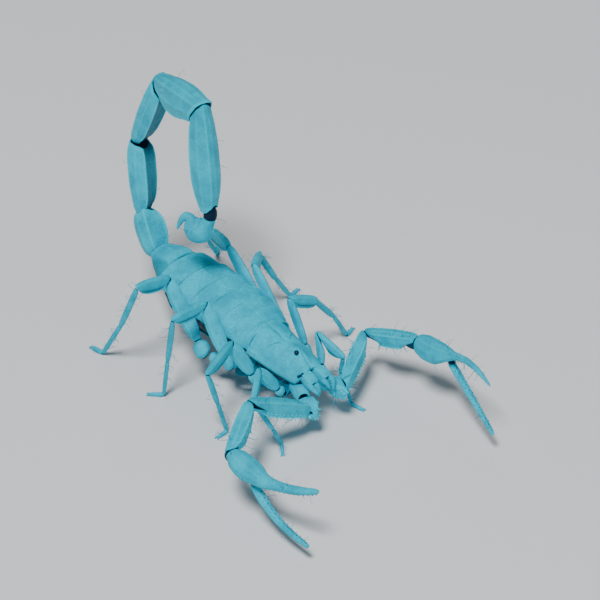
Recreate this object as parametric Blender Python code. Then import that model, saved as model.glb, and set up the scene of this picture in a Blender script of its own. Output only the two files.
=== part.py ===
"""A dry bark scorpion standing on its eight feet, tail arched over the back and claws reaching forward.

Metres, +Z up. The head points to -Y, the animal's left is +X and the foot soles lie on z = 0.
"""
import math

import bpy
import bmesh
import numpy as np
from mathutils import Vector

MM = 0.001
JOINT_GAP = 0.07          # clear slit between two sclerites, mm
ANKLE_HEIGHT = 0.17       # middle of the ankle above the ground, mm
HEEL_REACH = 0.32         # from the ankle to where the sole lies flat, mm

# Carapace, mm
CARAPACE_FRONT = -0.90
CARAPACE_BACK = 3.86
CARAPACE_FRONT_HALF = 1.20
CARAPACE_BACK_HALF = 2.06
CARAPACE_NOTCH = 0.26

# Mesosoma, mm
TERGITE_LENGTHS = (0.88, 1.10, 1.32, 1.52, 1.70, 1.92, 2.30)
MESOSOMA_START = 3.94
TERGITE_STEP = 0.08

# Tail: heading and pitch in degrees, length, half width and half height in mm
TAIL_BASE = (0.0, 15.0, 5.1)
TAIL_POSE = (
    (180, 64, 3.0, 0.88, 0.84),
    (161, 81, 5.1, 0.90, 0.80),
    (182, 114, 5.8, 0.80, 0.72),
    (164, 169, 5.9, 0.90, 1.02),
    (205, 266, 7.3, 0.88, 0.86),
)

# Walking legs: hip, then heading, pitch and length of femur, patella and tibia,
# then the ankle on the ground and the heading and length of the foot; mm and degrees
LEG_POSE = {
    "right_1": ((-2.0, 1.7, 2.6), (-50, 51, 2.7), (-49, -18, 2.4), (31, -56, 2.3), (-3.2, -1.5), (-36, 1.3)),
    "right_2": ((-2.4, 2.9, 2.7), (-95, 68, 3.2), (-68, -8, 3.2), (96, -72, 2.8), (-5.0, 1.85), (-80, 1.0)),
    "right_3": ((-2.65, 4.2, 2.7), (-177, 57, 4.5), (-83, 4, 3.0), (178, -79, 3.5), (-5.6, 7.6), (-136, 1.1)),
    "right_4": ((-2.85, 6.6, 2.5), (-178, 49, 5.5), (-77, 18, 3.4), (174, -62, 4.6), (-5.7, 13.9), (-174, 1.2)),
    "left_1": ((1.92, 1.75, 2.35), (62, 72, 2.1), (15, -26, 2.1), (152, -65, 1.8), (3.1, -1.1), (9, 1.1)),
    "left_2": ((2.45, 2.9, 2.65), (180, 65, 3.4), (93, -27, 2.7), (103, -49, 2.9), (8.0, 5.05), (114, 1.0)),
    "left_3": ((2.65, 4.2, 2.7), (-178, 45, 5.4), (134, -23, 3.8), (94, -60, 2.9), (8.1, 11.0), (110, 1.1)),
    "left_4": ((2.85, 6.6, 2.5), (-176, 45, 5.8), (158, -18, 4.5), (144, -43, 3.6), (7.6, 18.2), (140, 1.2)),
}
LEG_SCALE = {"1": 0.84, "2": 0.92, "3": 1.0, "4": 1.06}

# Pedipalps: trochanter start and end, then heading, pitch and length of femur, patella and hand,
# then the start of the movable finger and its heading, pitch and length
PALP_POSE = {
    "right": ((-1.20, -1.25, 2.75), (-1.55, -2.15, 2.72), (-91, 29, 5.0), (-58, -11, 4.7), (0, -6, 2.9),
              (11, 12, 4.9), (-9.84, -6.45, 3.30), (-4, -19, 5.8)),
    "left": ((1.20, -1.25, 2.75), (1.65, -1.95, 2.8), (122, 7, 5.0), (17, 14, 4.0), (3, 2, 3.0),
             (-7, 12, 4.5), (7.30, -5.45, 3.82), (-7, -20, 5.8)),
}

CYAN = (0.02, 0.62, 0.80, 1.0)
CYAN_PALE = (0.06, 0.72, 0.86, 1.0)
CYAN_DEEP = (0.01, 0.42, 0.62, 1.0)


# Clearing and small helpers

def clear_scene():
    for item in list(bpy.data.objects):
        bpy.data.objects.remove(item, do_unlink=True)
    for item in list(bpy.data.meshes):
        bpy.data.meshes.remove(item)


def collection(name):
    made = bpy.data.collections.new(name)
    bpy.context.scene.collection.children.link(made)
    return made


def direction(heading, pitch):
    h = math.radians(heading)
    p = math.radians(pitch)
    return Vector((math.sin(h) * math.cos(p), -math.cos(h) * math.cos(p), math.sin(p)))


def upward(heading, pitch):
    h = math.radians(heading)
    p = math.radians(pitch)
    return Vector((-math.sin(h) * math.sin(p), math.cos(h) * math.sin(p), math.cos(p)))


def material(name, colour, roughness=0.42):
    made = bpy.data.materials.new(name)
    made.use_nodes = True
    shader = made.node_tree.nodes["Principled BSDF"]
    shader.inputs["Base Color"].default_value = colour
    shader.inputs["Roughness"].default_value = roughness
    shader.inputs["Metallic"].default_value = 0.0
    return made


def finish_mesh(name, bm, home, colour, smooth=True):
    bmesh.ops.remove_doubles(bm, verts=bm.verts, dist=0.00002)
    bmesh.ops.recalc_face_normals(bm, faces=bm.faces)
    mesh = bpy.data.meshes.new(name)
    bm.to_mesh(mesh)
    bm.free()
    mesh.polygons.foreach_set("use_smooth", [smooth] * len(mesh.polygons))
    made = bpy.data.objects.new(name, mesh)
    home.objects.link(made)
    mesh.materials.append(material(name + "_surface", colour))
    return made


def skin_rings(bm, rings):
    """Joins rings of points, given in mm, into one closed tube."""
    rows = [[bm.verts.new(Vector(p) * MM) for p in ring] for ring in rings]
    count = len(rows[0])
    for low, high in zip(rows, rows[1:]):
        for i in range(count):
            j = (i + 1) % count
            bm.faces.new((low[i], low[j], high[j], high[i]))
    bm.faces.new(list(reversed(rows[0])))
    bm.faces.new(rows[-1])
    return rows


# Outlines of the sclerites, as unit points seen along the limb

def round_outline(count, power=2.0):
    points = []
    for i in range(count):
        a = 2 * math.pi * (i + 0.5) / count
        c = math.cos(a)
        s = math.sin(a)
        x = math.copysign(abs(c) ** (2 / power), c)
        y = math.copysign(abs(s) ** (2 / power), s)
        points.append((x, y))
    return points


def keeled_outline(half):
    """Builds a mirrored outline from (degrees from the top, radius) pairs of one side."""
    right = [(math.sin(math.radians(a)) * r, math.cos(math.radians(a)) * r) for a, r in half]
    left = [(-x, y) for x, y in reversed(right) if abs(x) > 1e-6]
    return right + left


TAIL_OUTLINE = keeled_outline(((0, 0.84), (24, 0.98), (40, 1.20), (58, 1.02), (84, 1.08), (112, 1.0),
                               (136, 1.18), (150, 0.98), (166, 1.06), (180, 0.93)))
LEG_OUTLINE = round_outline(8)
PATELLA_OUTLINE = keeled_outline(((0, 1.0), (45, 0.98), (95, 1.0), (126, 0.86), (148, 1.08), (180, 1.04)))
PALP_OUTLINE = keeled_outline(((0, 0.94), (42, 1.14), (75, 0.98), (105, 0.98), (138, 1.16), (180, 0.94)))
HAND_OUTLINE = keeled_outline(((0, 1.0), (35, 1.04), (70, 1.0), (110, 1.0), (145, 1.04), (180, 1.0)))


def limb_rings(start, heading, pitch, length, stations, outline, before=None, after=None,
               teeth=(), tooth=0.0, gap=JOINT_GAP):
    """Rings of one sclerite between two joints, its ends cut on the planes that halve the bends."""
    origin = Vector(start)
    d = direction(heading, pitch)
    up = upward(heading, pitch)
    side = d.cross(up).normalized()
    first = d if before is None else (d + before).normalized()
    last = d if after is None else (d + after).normalized()
    rings = []
    for k, (f, across, rise, half_w, half_h) in enumerate(stations):
        ring = []
        for i, (x, y) in enumerate(outline):
            grow = tooth if i in teeth and k % 2 else 0.0
            reach = math.hypot(x, y)
            gx = x * (1 + grow / reach)
            gy = y * (1 + grow / reach)
            off = side * (across + gx * half_w) + up * (rise + gy * half_h)
            s0 = (gap / 2 - off.dot(first)) / d.dot(first)
            s1 = (-gap / 2 - off.dot(last)) / d.dot(last)
            shift = (1 - f) ** 2 * s0 + f ** 2 * s1
            ring.append(origin + off + d * (f * length + shift))
        rings.append(ring)
    return rings


def limb(name, home, colour, start, pose, stations, outline, **options):
    bm = bmesh.new()
    heading, pitch, length = pose
    skin_rings(bm, limb_rings(start, heading, pitch, length, stations, outline, **options))
    made = finish_mesh(name, bm, home, colour)
    return made, Vector(start) + direction(heading, pitch) * length


# Carapace with its furrow, eye hill and front notch

def carapace_height(x, y, half, run):
    """Top surface of the shield; run goes from 0 at the front to 1 at the back."""
    edge = 3.52 + 0.50 * run
    crown = 4.22 + 1.24 * run ** 0.8
    across = min(1.0, abs(x) / half)
    z = edge + (crown - edge) * (1 - across ** 2.4)
    hill = math.exp(-((x / 0.44) ** 2) - ((y - 0.95) / 0.75) ** 2)
    furrow = math.exp(-(x / 0.16) ** 2) * min(1.0, max(0.0, (run - 0.48) / 0.12))
    brow = math.exp(-((abs(x) - 0.80) / 0.24) ** 2 - ((y + 0.35) / 0.5) ** 2)
    return z + 0.36 * hill - 0.13 * furrow + 0.12 * brow


def carapace_shells():
    rows = 13
    columns = (-1.0, -0.88, -0.66, -0.44, -0.25, -0.11, 0.0, 0.11, 0.25, 0.44, 0.66, 0.88, 1.0)
    bm = bmesh.new()
    top = []
    for r in range(rows):
        run = r / (rows - 1)
        half = CARAPACE_FRONT_HALF + (CARAPACE_BACK_HALF - CARAPACE_FRONT_HALF) * run ** 0.72
        line = []
        for c in columns:
            x = c * half
            notch = CARAPACE_NOTCH * max(0.0, 1 - abs(x) / 0.5) * (1 - run) ** 3
            corner = 0.42 * abs(c) ** 5 * (1 - run) ** 4
            rear = 0.22 * abs(c) ** 3 * run ** 4
            y = CARAPACE_FRONT + (CARAPACE_BACK - CARAPACE_FRONT) * run + notch + corner - rear
            line.append(bm.verts.new(Vector((x, y, carapace_height(x, y, half, run))) * MM))
        top.append(line)
    for a, b in zip(top, top[1:]):
        for i in range(len(columns) - 1):
            bm.faces.new((a[i], a[i + 1], b[i + 1], b[i]))
    rim = top[0] + [row[-1] for row in top[1:-1]] + list(reversed(top[-1])) + [row[0] for row in top[-2:0:-1]]
    under = []
    middle = Vector((0, 1.5, 0)) * MM
    for v in rim:
        inward = middle + (v.co - middle) * 0.93
        under.append(bm.verts.new((inward.x, inward.y, 3.22 * MM)))
    for i in range(len(rim)):
        j = (i + 1) % len(rim)
        bm.faces.new((rim[i], rim[j], under[j], under[i]))
    bm.faces.new(under)
    bmesh.ops.triangulate(bm, faces=[f for f in bm.faces if len(f.verts) > 4])
    bm.faces.index_update()
    for x in (-0.23, 0.23):
        shape = bmesh.ops.create_uvsphere(bm, u_segments=8, v_segments=5, radius=0.17 * MM)
        for v in shape["verts"]:
            v.co += Vector((x, 0.88, 4.96)) * MM
    return bm


def joined_solid(name, home, colour, bm):
    """Fuses overlapping closed shells of one mesh into a single skin."""
    islands = []
    seen = set()
    for v in bm.verts:
        if v in seen:
            continue
        stack = [v]
        island = []
        seen.add(v)
        while stack:
            w = stack.pop()
            island.append(w)
            for e in w.link_edges:
                o = e.other_vert(w)
                if o not in seen:
                    seen.add(o)
                    stack.append(o)
        islands.append(island)
    parts = []
    for number, island in enumerate(islands):
        part = bmesh.new()
        index = {v: part.verts.new(v.co) for v in island}
        faces = {f for v in island for f in v.link_faces}
        for f in sorted(faces, key=lambda g: g.index):
            part.faces.new([index[v] for v in f.verts])
        bmesh.ops.recalc_face_normals(part, faces=part.faces)
        mesh = bpy.data.meshes.new(name + "_piece_" + str(number))
        part.to_mesh(mesh)
        part.free()
        parts.append(bpy.data.objects.new(mesh.name, mesh))
    bm.free()
    for item in parts:
        home.objects.link(item)
    base = parts[0]
    for item in parts[1:]:
        cut = base.modifiers.new("join", "BOOLEAN")
        cut.operation = "UNION"
        cut.solver = "EXACT"
        cut.object = item
    bpy.context.view_layer.update()
    shape = base.evaluated_get(bpy.context.evaluated_depsgraph_get())
    mesh = bpy.data.meshes.new_from_object(shape)
    for item in parts:
        bpy.data.objects.remove(item, do_unlink=True)
    done = bmesh.new()
    done.from_mesh(mesh)
    return finish_mesh(name, done, home, colour)


# Mesosoma: seven overlapping back plates over a soft flank and a flat belly

def mesosoma_half(run):
    swell = 2.08 + 0.26 * math.sin(math.pi * min(1.0, run / 0.86)) ** 0.9
    taper = max(0.0, (run - 0.74) / 0.26)
    return swell - 1.02 * taper ** 1.25


def mesosoma_top(run):
    last = math.exp(-(((run - 0.90) / 0.07) ** 2))
    return 5.50 + 0.66 * math.sin(math.pi * min(1.0, run * 0.62 + 0.08)) ** 1.2 - 0.12 * run + 0.10 * last


def mesosoma_ring(y, run, grow):
    half = mesosoma_half(run) + grow
    top = mesosoma_top(run) + grow
    edge = top - 0.58 * half - 0.08
    belly = 2.52 + 1.45 * max(0.0, (run - 0.70) / 0.30) ** 1.3 + 0.46 * max(0.0, 1 - run / 0.30) ** 0.5
    points = []
    for k in range(9):
        a = math.pi * (k / 8)
        x = -math.cos(a) * half
        lift = math.sin(a) ** 0.75
        points.append((x, y, edge + (top - edge) * lift))
    flank = half - 0.30 - grow
    points.append((flank, y, edge - 0.14))
    points.append((flank * 0.97, y, edge - 0.62))
    points.append((flank * 0.76, y, belly + 0.10))
    points.append((flank * 0.42, y, belly))
    points.append((-flank * 0.42, y, belly))
    points.append((-flank * 0.76, y, belly + 0.10))
    points.append((-flank * 0.97, y, edge - 0.62))
    points.append((-flank, y, edge - 0.14))
    return points


def build_mesosoma(home):
    total = sum(TERGITE_LENGTHS)
    y = MESOSOMA_START
    rings = []
    for number, length in enumerate(TERGITE_LENGTHS):
        for f, grow in ((0.03, 0.0), (0.45, 0.05), (0.97, TERGITE_STEP)):
            run = (y + f * length - MESOSOMA_START) / total
            if number == 6 and f > 0.9:
                grow = 0.0
            rings.append(mesosoma_ring(y + f * length, run, grow))
        y += length
    bm = bmesh.new()
    skin_rings(bm, rings)
    bmesh.ops.triangulate(bm, faces=[f for f in bm.faces if len(f.verts) > 4])
    return finish_mesh("mesosoma", bm, home, CYAN)


# Coxosternum: the plates under the head shield, fused with one hip lobe to each limb

# One lobe for the pedipalp and one for each leg: its inner end, outer end and radius
HIP_LOBES = (
    ((0.55, 0.35, 2.62), (1.17, -1.12, 2.75), 0.46),
    ((0.60, 0.75, 2.50), (1.70, 1.70, 2.42), 0.36),
    ((0.60, 1.70, 2.42), (2.30, 2.84, 2.56), 0.36),
    ((0.60, 2.55, 2.34), (2.46, 4.05, 2.56), 0.35),
    ((0.55, 3.35, 2.20), (2.62, 6.36, 2.42), 0.33),
)


def build_coxosternum(home):
    bm = bmesh.new()
    rings = []
    for y, half, low, high in ((-0.10, 0.70, 2.30, 2.95), (0.60, 0.95, 2.14, 3.10), (1.60, 1.20, 2.06, 3.12),
                               (2.70, 1.35, 1.98, 3.12), (3.60, 1.20, 1.92, 3.02), (3.85, 0.90, 1.96, 2.90)):
        mid = (low + high) / 2
        rings.append([(half, y, mid), (half * 0.8, y, high), (-half * 0.8, y, high), (-half, y, mid),
                      (-half * 0.55, y, low), (half * 0.55, y, low)])
    skin_rings(bm, rings)
    outline = round_outline(8)
    for sign in (1, -1):
        for inner, outer, radius in HIP_LOBES:
            start = Vector((inner[0] * sign, inner[1], inner[2]))
            end = Vector((outer[0] * sign, outer[1], outer[2]))
            way = end - start
            heading = math.degrees(math.atan2(way.x, -way.y))
            pitch = math.degrees(math.asin(way.z / way.length))
            stations = ((0.0, 0, 0, radius * 0.7, radius * 0.7), (0.45, 0, 0, radius, radius),
                        (0.90, 0, 0, radius * 0.92, radius * 0.92), (1.0, 0, 0, radius * 0.62, radius * 0.62))
            skin_rings(bm, limb_rings(start, heading, pitch, way.length, stations, outline))
    bm.faces.index_update()
    return joined_solid("coxosternum", home, CYAN_DEEP, bm)


# Chelicerae: two blunt jaws under the front edge

def build_chelicera(home, label, sign):
    stations = (
        (0.00, 0.00, 0.00, 0.34, 0.30), (0.07, 0.00, 0.02, 0.44, 0.40), (0.30, 0.00, 0.03, 0.46, 0.46),
        (0.52, 0.00, 0.02, 0.43, 0.44), (0.59, -0.06 * sign, 0.05, 0.28, 0.30),
        (0.74, -0.10 * sign, 0.00, 0.15, 0.16), (0.88, -0.06 * sign, -0.14, 0.10, 0.10),
        (1.00, 0.04 * sign, -0.34, 0.03, 0.03),
    )
    start = (0.50 * sign, -0.99, 3.58)
    pose = (4 * sign, -16, 1.9)
    limb("chelicera_" + label, home, CYAN, start, pose, stations, round_outline(10, 2.6))


# Pectines: a comb of teeth on each side behind the hip plates

PECTEN_TEETH = 8
PECTEN_BAR = 0.30
PECTEN_PITCH = 0.30
PECTEN_TOOTH = 0.34
PECTEN_THICK = 0.14


def build_pecten(home, label, sign):
    along = Vector((0.80 * sign, 0.60, -0.02)).normalized()
    back = Vector((-0.60 * sign, 0.80, -0.12)).normalized()
    normal = along.cross(back).normalized()
    root = Vector((0.42 * sign, 4.55, 2.02))
    bm = bmesh.new()

    def pair(s, depth):
        """The two corners, on the lower and the upper side, at s along the bar and depth behind its front edge."""
        point = root + along * s + back * depth
        return [bm.verts.new((point + normal * (PECTEN_THICK / 2) * way) * MM) for way in (-1, 1)]

    def wall(a, b):
        bm.faces.new((a[0], b[0], b[1], a[1]))

    def skin(*corners):
        bm.faces.new([c[0] for c in corners])
        bm.faces.new([c[1] for c in reversed(corners)])

    front = [pair(i * PECTEN_PITCH, 0.0) for i in range(PECTEN_TEETH + 1)]
    rear = [pair(i * PECTEN_PITCH, PECTEN_BAR) for i in range(PECTEN_TEETH + 1)]
    wall(front[0], rear[0])
    wall(front[-1], rear[-1])
    for i in range(PECTEN_TEETH):
        s = i * PECTEN_PITCH
        notch = pair(s + 0.80 * PECTEN_PITCH, PECTEN_BAR)
        tip_a = pair(s + 0.16 * PECTEN_PITCH, PECTEN_BAR + PECTEN_TOOTH)
        tip_b = pair(s + 0.62 * PECTEN_PITCH, PECTEN_BAR + PECTEN_TOOTH)
        skin(front[i], front[i + 1], rear[i + 1], notch)
        skin(front[i], notch, rear[i])
        skin(rear[i], notch, tip_b, tip_a)
        wall(front[i], front[i + 1])
        wall(notch, rear[i + 1])
        wall(rear[i], tip_a)
        wall(tip_a, tip_b)
        wall(tip_b, notch)
    finish_mesh("pecten_" + label, bm, home, CYAN_DEEP, smooth=False)


# Tail segments with their lengthwise keels, and the telson with its sting

def build_tail(home):
    joint = Vector(TAIL_BASE)
    ways = [direction(h, p) for h, p, *_ in TAIL_POSE]
    first = direction(180, 20)
    telson_way = direction(-160, -44)
    for number, (heading, pitch, length, half_w, half_h) in enumerate(TAIL_POSE, start=1):
        swell = 1.0 if number > 1 else 1.06
        stations = [
            (0.00, 0, 0, half_w * 0.46, half_h * 0.46), (0.035, 0, 0, half_w * 0.64, half_h * 0.64),
            (0.13, 0, 0, half_w * 0.84 * swell, half_h * 0.84), (0.36, 0, 0, half_w * 0.96, half_h * 0.96),
            (0.62, 0, 0, half_w, half_h), (0.84, 0, 0, half_w * 0.97, half_h * 0.97),
            (0.955, 0, 0, half_w * 0.92, half_h * 0.92), (0.985, 0, 0, half_w * 0.80, half_h * 0.80),
            (1.00, 0, 0, half_w * 0.52, half_h * 0.52),
        ]
        if number == 5:
            stations = [
                (0.00, 0, 0, half_w * 0.48, half_h * 0.48), (0.03, 0, 0, half_w * 0.68, half_h * 0.68),
                (0.12, 0, 0, half_w * 0.86, half_h * 0.86), (0.30, 0, 0, half_w * 0.98, half_h * 0.98),
                (0.48, 0, 0, half_w, half_h), (0.68, 0, 0, half_w * 0.92, half_h * 0.92),
                (0.86, 0, 0, half_w * 0.76, half_h * 0.76), (0.97, 0, 0, half_w * 0.70, half_h * 0.70),
                (1.00, 0, 0, half_w * 0.46, half_h * 0.46),
            ]
        before = ways[number - 2] if number > 1 else first
        after = ways[number] if number < 5 else telson_way
        made, joint = limb("tail_segment_" + str(number), home, CYAN_PALE, joint, (heading, pitch, length),
                           stations, TAIL_OUTLINE, before=before, after=after)
    return joint


# Telson in the plane of its heading: distance along, height, radius
TELSON_HEADING = -160
TELSON_PATH = (
    (0.10, -0.12, 0.26), (0.20, -0.28, 0.42), (0.46, -0.68, 0.64), (0.88, -1.06, 0.78), (1.26, -1.18, 0.74),
    (1.58, -1.04, 0.52), (1.76, -0.78, 0.27), (1.92, -0.66, 0.17), (2.12, -0.70, 0.13), (2.28, -0.95, 0.11),
    (2.34, -1.28, 0.085), (2.30, -1.60, 0.055), (2.22, -1.90, 0.015),
)


def build_telson(home, joint):
    flat = direction(TELSON_HEADING, 0)
    side = flat.cross(Vector((0, 0, 1))).normalized()
    points = [Vector((a, z)) for a, z, _ in TELSON_PATH]
    rings = []
    for k, (a, z, radius) in enumerate(TELSON_PATH):
        before = points[max(0, k - 1)]
        after = points[min(len(points) - 1, k + 1)]
        along = (after - before).normalized()
        normal = flat * (-along.y) + Vector((0, 0, 1)) * along.x
        centre = joint + flat * a + Vector((0, 0, z))
        ring = []
        for i in range(12):
            t = 2 * math.pi * i / 12
            ring.append(centre + side * (math.cos(t) * radius) + normal * (math.sin(t) * radius))
        rings.append(ring)
    bm = bmesh.new()
    skin_rings(bm, rings)
    finish_mesh("telson", bm, home, CYAN_PALE)


# Walking legs

def build_leg(home, label):
    side, number = label.split("_")
    hip, femur, patella, tibia, ankle, foot = LEG_POSE[label]
    size = LEG_SCALE[number]
    prefix = "leg_" + number + "_" + side + "_"
    knee_way = direction(*patella[:2])
    femur_way = direction(*femur[:2])
    tibia_way = direction(*tibia[:2])
    outward = direction(90 if side == "left" else -90, 10)
    hip_way = (outward + femur_way).normalized()
    femur_stations = (
        (0.00, 0, 0, 0.26 * size, 0.26 * size), (0.08, 0, 0, 0.38 * size, 0.40 * size),
        (0.17, 0, 0, 0.34 * size, 0.36 * size), (0.23, 0, 0, 0.22 * size, 0.28 * size),
        (0.42, 0, 0, 0.25 * size, 0.38 * size), (0.70, 0, 0, 0.26 * size, 0.40 * size),
        (0.92, 0, 0, 0.24 * size, 0.33 * size), (1.00, 0, 0, 0.17 * size, 0.22 * size),
    )
    made, joint = limb(prefix + "femur", home, CYAN, hip, femur, femur_stations, LEG_OUTLINE,
                       before=hip_way, after=knee_way)
    patella_stations = (
        (0.00, 0, 0, 0.17 * size, 0.22 * size), (0.07, 0, 0, 0.22 * size, 0.31 * size),
        (0.30, 0, 0, 0.25 * size, 0.40 * size), (0.62, 0, 0, 0.25 * size, 0.41 * size),
        (0.92, 0, 0, 0.21 * size, 0.31 * size), (1.00, 0, 0, 0.15 * size, 0.20 * size),
    )
    made, joint = limb(prefix + "patella", home, CYAN, joint, patella, patella_stations, PATELLA_OUTLINE,
                       before=femur_way, after=tibia_way)
    ankle_point = Vector((ankle[0], ankle[1], ANKLE_HEIGHT))
    tibia_end = Vector(joint) + tibia_way * tibia[2]
    shin_way = (ankle_point - tibia_end).normalized()
    tibia_stations = (
        (0.00, 0, 0, 0.13 * size, 0.16 * size), (0.07, 0, 0, 0.17 * size, 0.22 * size),
        (0.45, 0, 0, 0.18 * size, 0.24 * size), (0.94, 0, 0, 0.15 * size, 0.20 * size),
        (1.00, 0, 0, 0.10 * size, 0.14 * size),
    )
    limb(prefix + "tibia", home, CYAN, joint, tibia, tibia_stations, LEG_OUTLINE,
         before=knee_way, after=shin_way)
    build_foot(home, prefix + "tarsus", tibia_end, ankle_point, foot, tibia_way, size)


def build_foot(home, name, start, ankle, foot, before, size):
    """Shin and foot as one sclerite that ends in a flat sole on the ground."""
    heading, length = foot
    shin = ankle - start
    d = shin.normalized()
    toe = direction(heading, 0)
    shin_heading = math.degrees(math.atan2(d.x, -d.y))
    shin_pitch = math.degrees(math.asin(d.z))
    stations = ((0.00, 0, 0, 0.10 * size, 0.12 * size), (0.06, 0, 0, 0.13 * size, 0.16 * size),
                (0.86, 0, 0, 0.11 * size, 0.14 * size), (1.00, 0, 0, 0.11 * size, 0.14 * size))
    rings = limb_rings(start, shin_heading, shin_pitch, shin.length, stations, LEG_OUTLINE, before=before,
                       after=(d + toe).normalized())
    side = toe.cross(Vector((0, 0, 1))).normalized()
    shin_side = d.cross(upward(shin_heading, shin_pitch))
    # A shin that comes in from over the toes has its upper side at the heel, so its ring is half a turn round
    turn = 1 if shin_side.dot(side) > 0 else -1
    ground = Vector((ankle.x, ankle.y, 0))
    for reach, half_w, top in ((HEEL_REACH, 0.13, 0.28), (0.52 * length, 0.12, 0.25), (0.80 * length, 0.09, 0.19),
                               (length, 0.05, 0.10)):
        ring = []
        for x, y in LEG_OUTLINE:
            height = max(0.0, top * (0.5 + 0.62 * turn * y))
            ring.append(ground + toe * reach + side * (turn * x * half_w * size) + Vector((0, 0, height)))
        rings.append(ring)
    bm = bmesh.new()
    skin_rings(bm, rings)
    bmesh.ops.triangulate(bm, faces=[g for g in bm.faces if len(g.verts) > 4])
    finish_mesh(name, bm, home, CYAN)


# Pedipalps

def build_palp(home, label):
    root, elbow, femur, patella, hand, fixed, finger_root, finger = PALP_POSE[label]
    sign = 1 if label == "left" else -1
    root = Vector(root)
    elbow = Vector(elbow)
    d = (elbow - root).normalized()
    heading = math.degrees(math.atan2(d.x, -d.y))
    pitch = math.degrees(math.asin(d.z))
    femur_way = direction(*femur[:2])
    patella_way = direction(*patella[:2])
    hand_way = direction(*hand[:2])
    trochanter_stations = (
        (0.00, 0, 0, 0.30, 0.32), (0.18, 0, 0, 0.46, 0.48), (0.60, 0, 0, 0.50, 0.54), (1.00, 0, 0, 0.30, 0.34),
    )
    limb("pedipalp_trochanter_" + label, home, CYAN, root, (heading, pitch, (elbow - root).length),
         trochanter_stations, round_outline(10), after=femur_way)
    femur_stations = [(0.00, 0, 0, 0.26, 0.28), (0.05, 0, 0, 0.36, 0.38)]
    for k in range(8):
        f = 0.14 + 0.76 * k / 7
        swell = math.sin(math.pi * (0.18 + 0.66 * f))
        femur_stations.append((f, 0, -0.06 * swell, 0.28 + 0.20 * swell, 0.34 + 0.28 * swell))
    femur_stations.append((0.96, 0, 0, 0.38, 0.40))
    femur_stations.append((1.00, 0, 0, 0.24, 0.26))
    made, joint = limb("pedipalp_femur_" + label, home, CYAN, elbow, femur, femur_stations, PALP_OUTLINE,
                       before=d, after=patella_way, teeth=(1, 4, 6, 9), tooth=0.14)
    patella_stations = [(0.00, 0, 0, 0.24, 0.26), (0.05, 0, 0, 0.36, 0.38)]
    for k in range(8):
        f = 0.13 + 0.77 * k / 7
        swell = math.sin(math.pi * (0.10 + 0.74 * f)) ** 0.8
        patella_stations.append((f, 0.06 * sign * swell, 0, 0.28 + 0.36 * swell, 0.28 + 0.28 * swell))
    patella_stations.append((0.965, 0, 0, 0.40, 0.38))
    patella_stations.append((1.00, 0, 0, 0.26, 0.26))
    made, joint = limb("pedipalp_patella_" + label, home, CYAN, joint, patella, patella_stations,
                       PALP_OUTLINE, before=femur_way, after=hand_way, teeth=(1, 4, 6, 9), tooth=0.08)
    build_hand(home, label, joint, hand, fixed, patella_way)
    build_finger(home, label, finger_root, finger, hand_way)


def build_hand(home, label, wrist, hand, fixed, before):
    """Swollen hand that runs on into the fixed finger."""
    heading, pitch, length = hand
    way = direction(heading, pitch)
    up = upward(heading, pitch)
    side = way.cross(up).normalized()
    palm = (
        (0.00, 0, 0, 0.28, 0.28), (0.07, 0, 0, 0.44, 0.44), (0.25, 0, -0.05, 0.68, 0.70), (0.50, 0, -0.05, 0.76, 0.74),
        (0.72, 0, 0.12, 0.68, 0.52), (0.90, 0, 0.16, 0.48, 0.36),
    )
    rings = limb_rings(wrist, heading, pitch, length, palm, HAND_OUTLINE, before=before)
    knuckle = wrist + way * length
    finger_way = direction(*fixed[:2])
    finger_length = fixed[2]
    bow = 0.10 if label == "right" else 0.30
    for f, half_w, half_h in ((0.06, 0.30, 0.27), (0.22, 0.25, 0.22), (0.42, 0.22, 0.19), (0.62, 0.18, 0.16),
                              (0.80, 0.14, 0.12), (0.93, 0.09, 0.08), (1.00, 0.03, 0.03)):
        lift = bow * math.sin(math.pi * f) + 0.10 * (1 - f)
        centre = knuckle + finger_way * (finger_length * f) + up * lift
        rings.append([centre + side * (x * half_w) + up * (y * half_h) for x, y in HAND_OUTLINE])
    bm = bmesh.new()
    skin_rings(bm, rings)
    finish_mesh("hand_" + label, bm, home, CYAN_PALE)


def build_finger(home, label, root, pose, before):
    heading, pitch, length = pose
    stations = []
    for f, half_w, half_h in ((0.00, 0.16, 0.14), (0.04, 0.25, 0.22), (0.16, 0.27, 0.23), (0.32, 0.23, 0.20),
                              (0.50, 0.20, 0.18), (0.68, 0.17, 0.15), (0.84, 0.12, 0.11), (0.95, 0.07, 0.06),
                              (1.00, 0.025, 0.025)):
        bow = (-0.62 if label == "right" else 0.02) * math.sin(math.pi * f ** 0.9)
        stations.append((f, 0, bow, half_w, half_h))
    limb("movable_finger_" + label, home, CYAN_PALE, root, pose, stations, round_outline(10))


def rest_on_origin(home):
    """Moves every piece so that the whole stands on z = 0 with its box centred on the origin."""
    points = []
    for item in home.objects:
        points.extend([item.matrix_world @ v.co for v in item.data.vertices])
    array = np.array([tuple(p) for p in points])
    low = array.min(axis=0)
    high = array.max(axis=0)
    shift = Vector((-(low[0] + high[0]) / 2, -(low[1] + high[1]) / 2, -low[2]))
    for item in home.objects:
        for v in item.data.vertices:
            v.co += shift
        item.data.update()


def build():
    clear_scene()
    home = collection("scorpion")
    joined_solid("carapace", home, CYAN, carapace_shells())
    build_mesosoma(home)
    build_coxosternum(home)
    for label, sign in (("left", 1), ("right", -1)):
        build_chelicera(home, label, sign)
        build_pecten(home, label, sign)
        build_palp(home, label)
    for label in LEG_POSE:
        build_leg(home, label)
    joint = build_tail(home)
    build_telson(home, joint)
    rest_on_origin(home)


build()
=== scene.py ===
"""Dry bark scorpion: fine cuticle over the solid frame, a pale floor, soft studio light and the camera."""
import math

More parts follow.
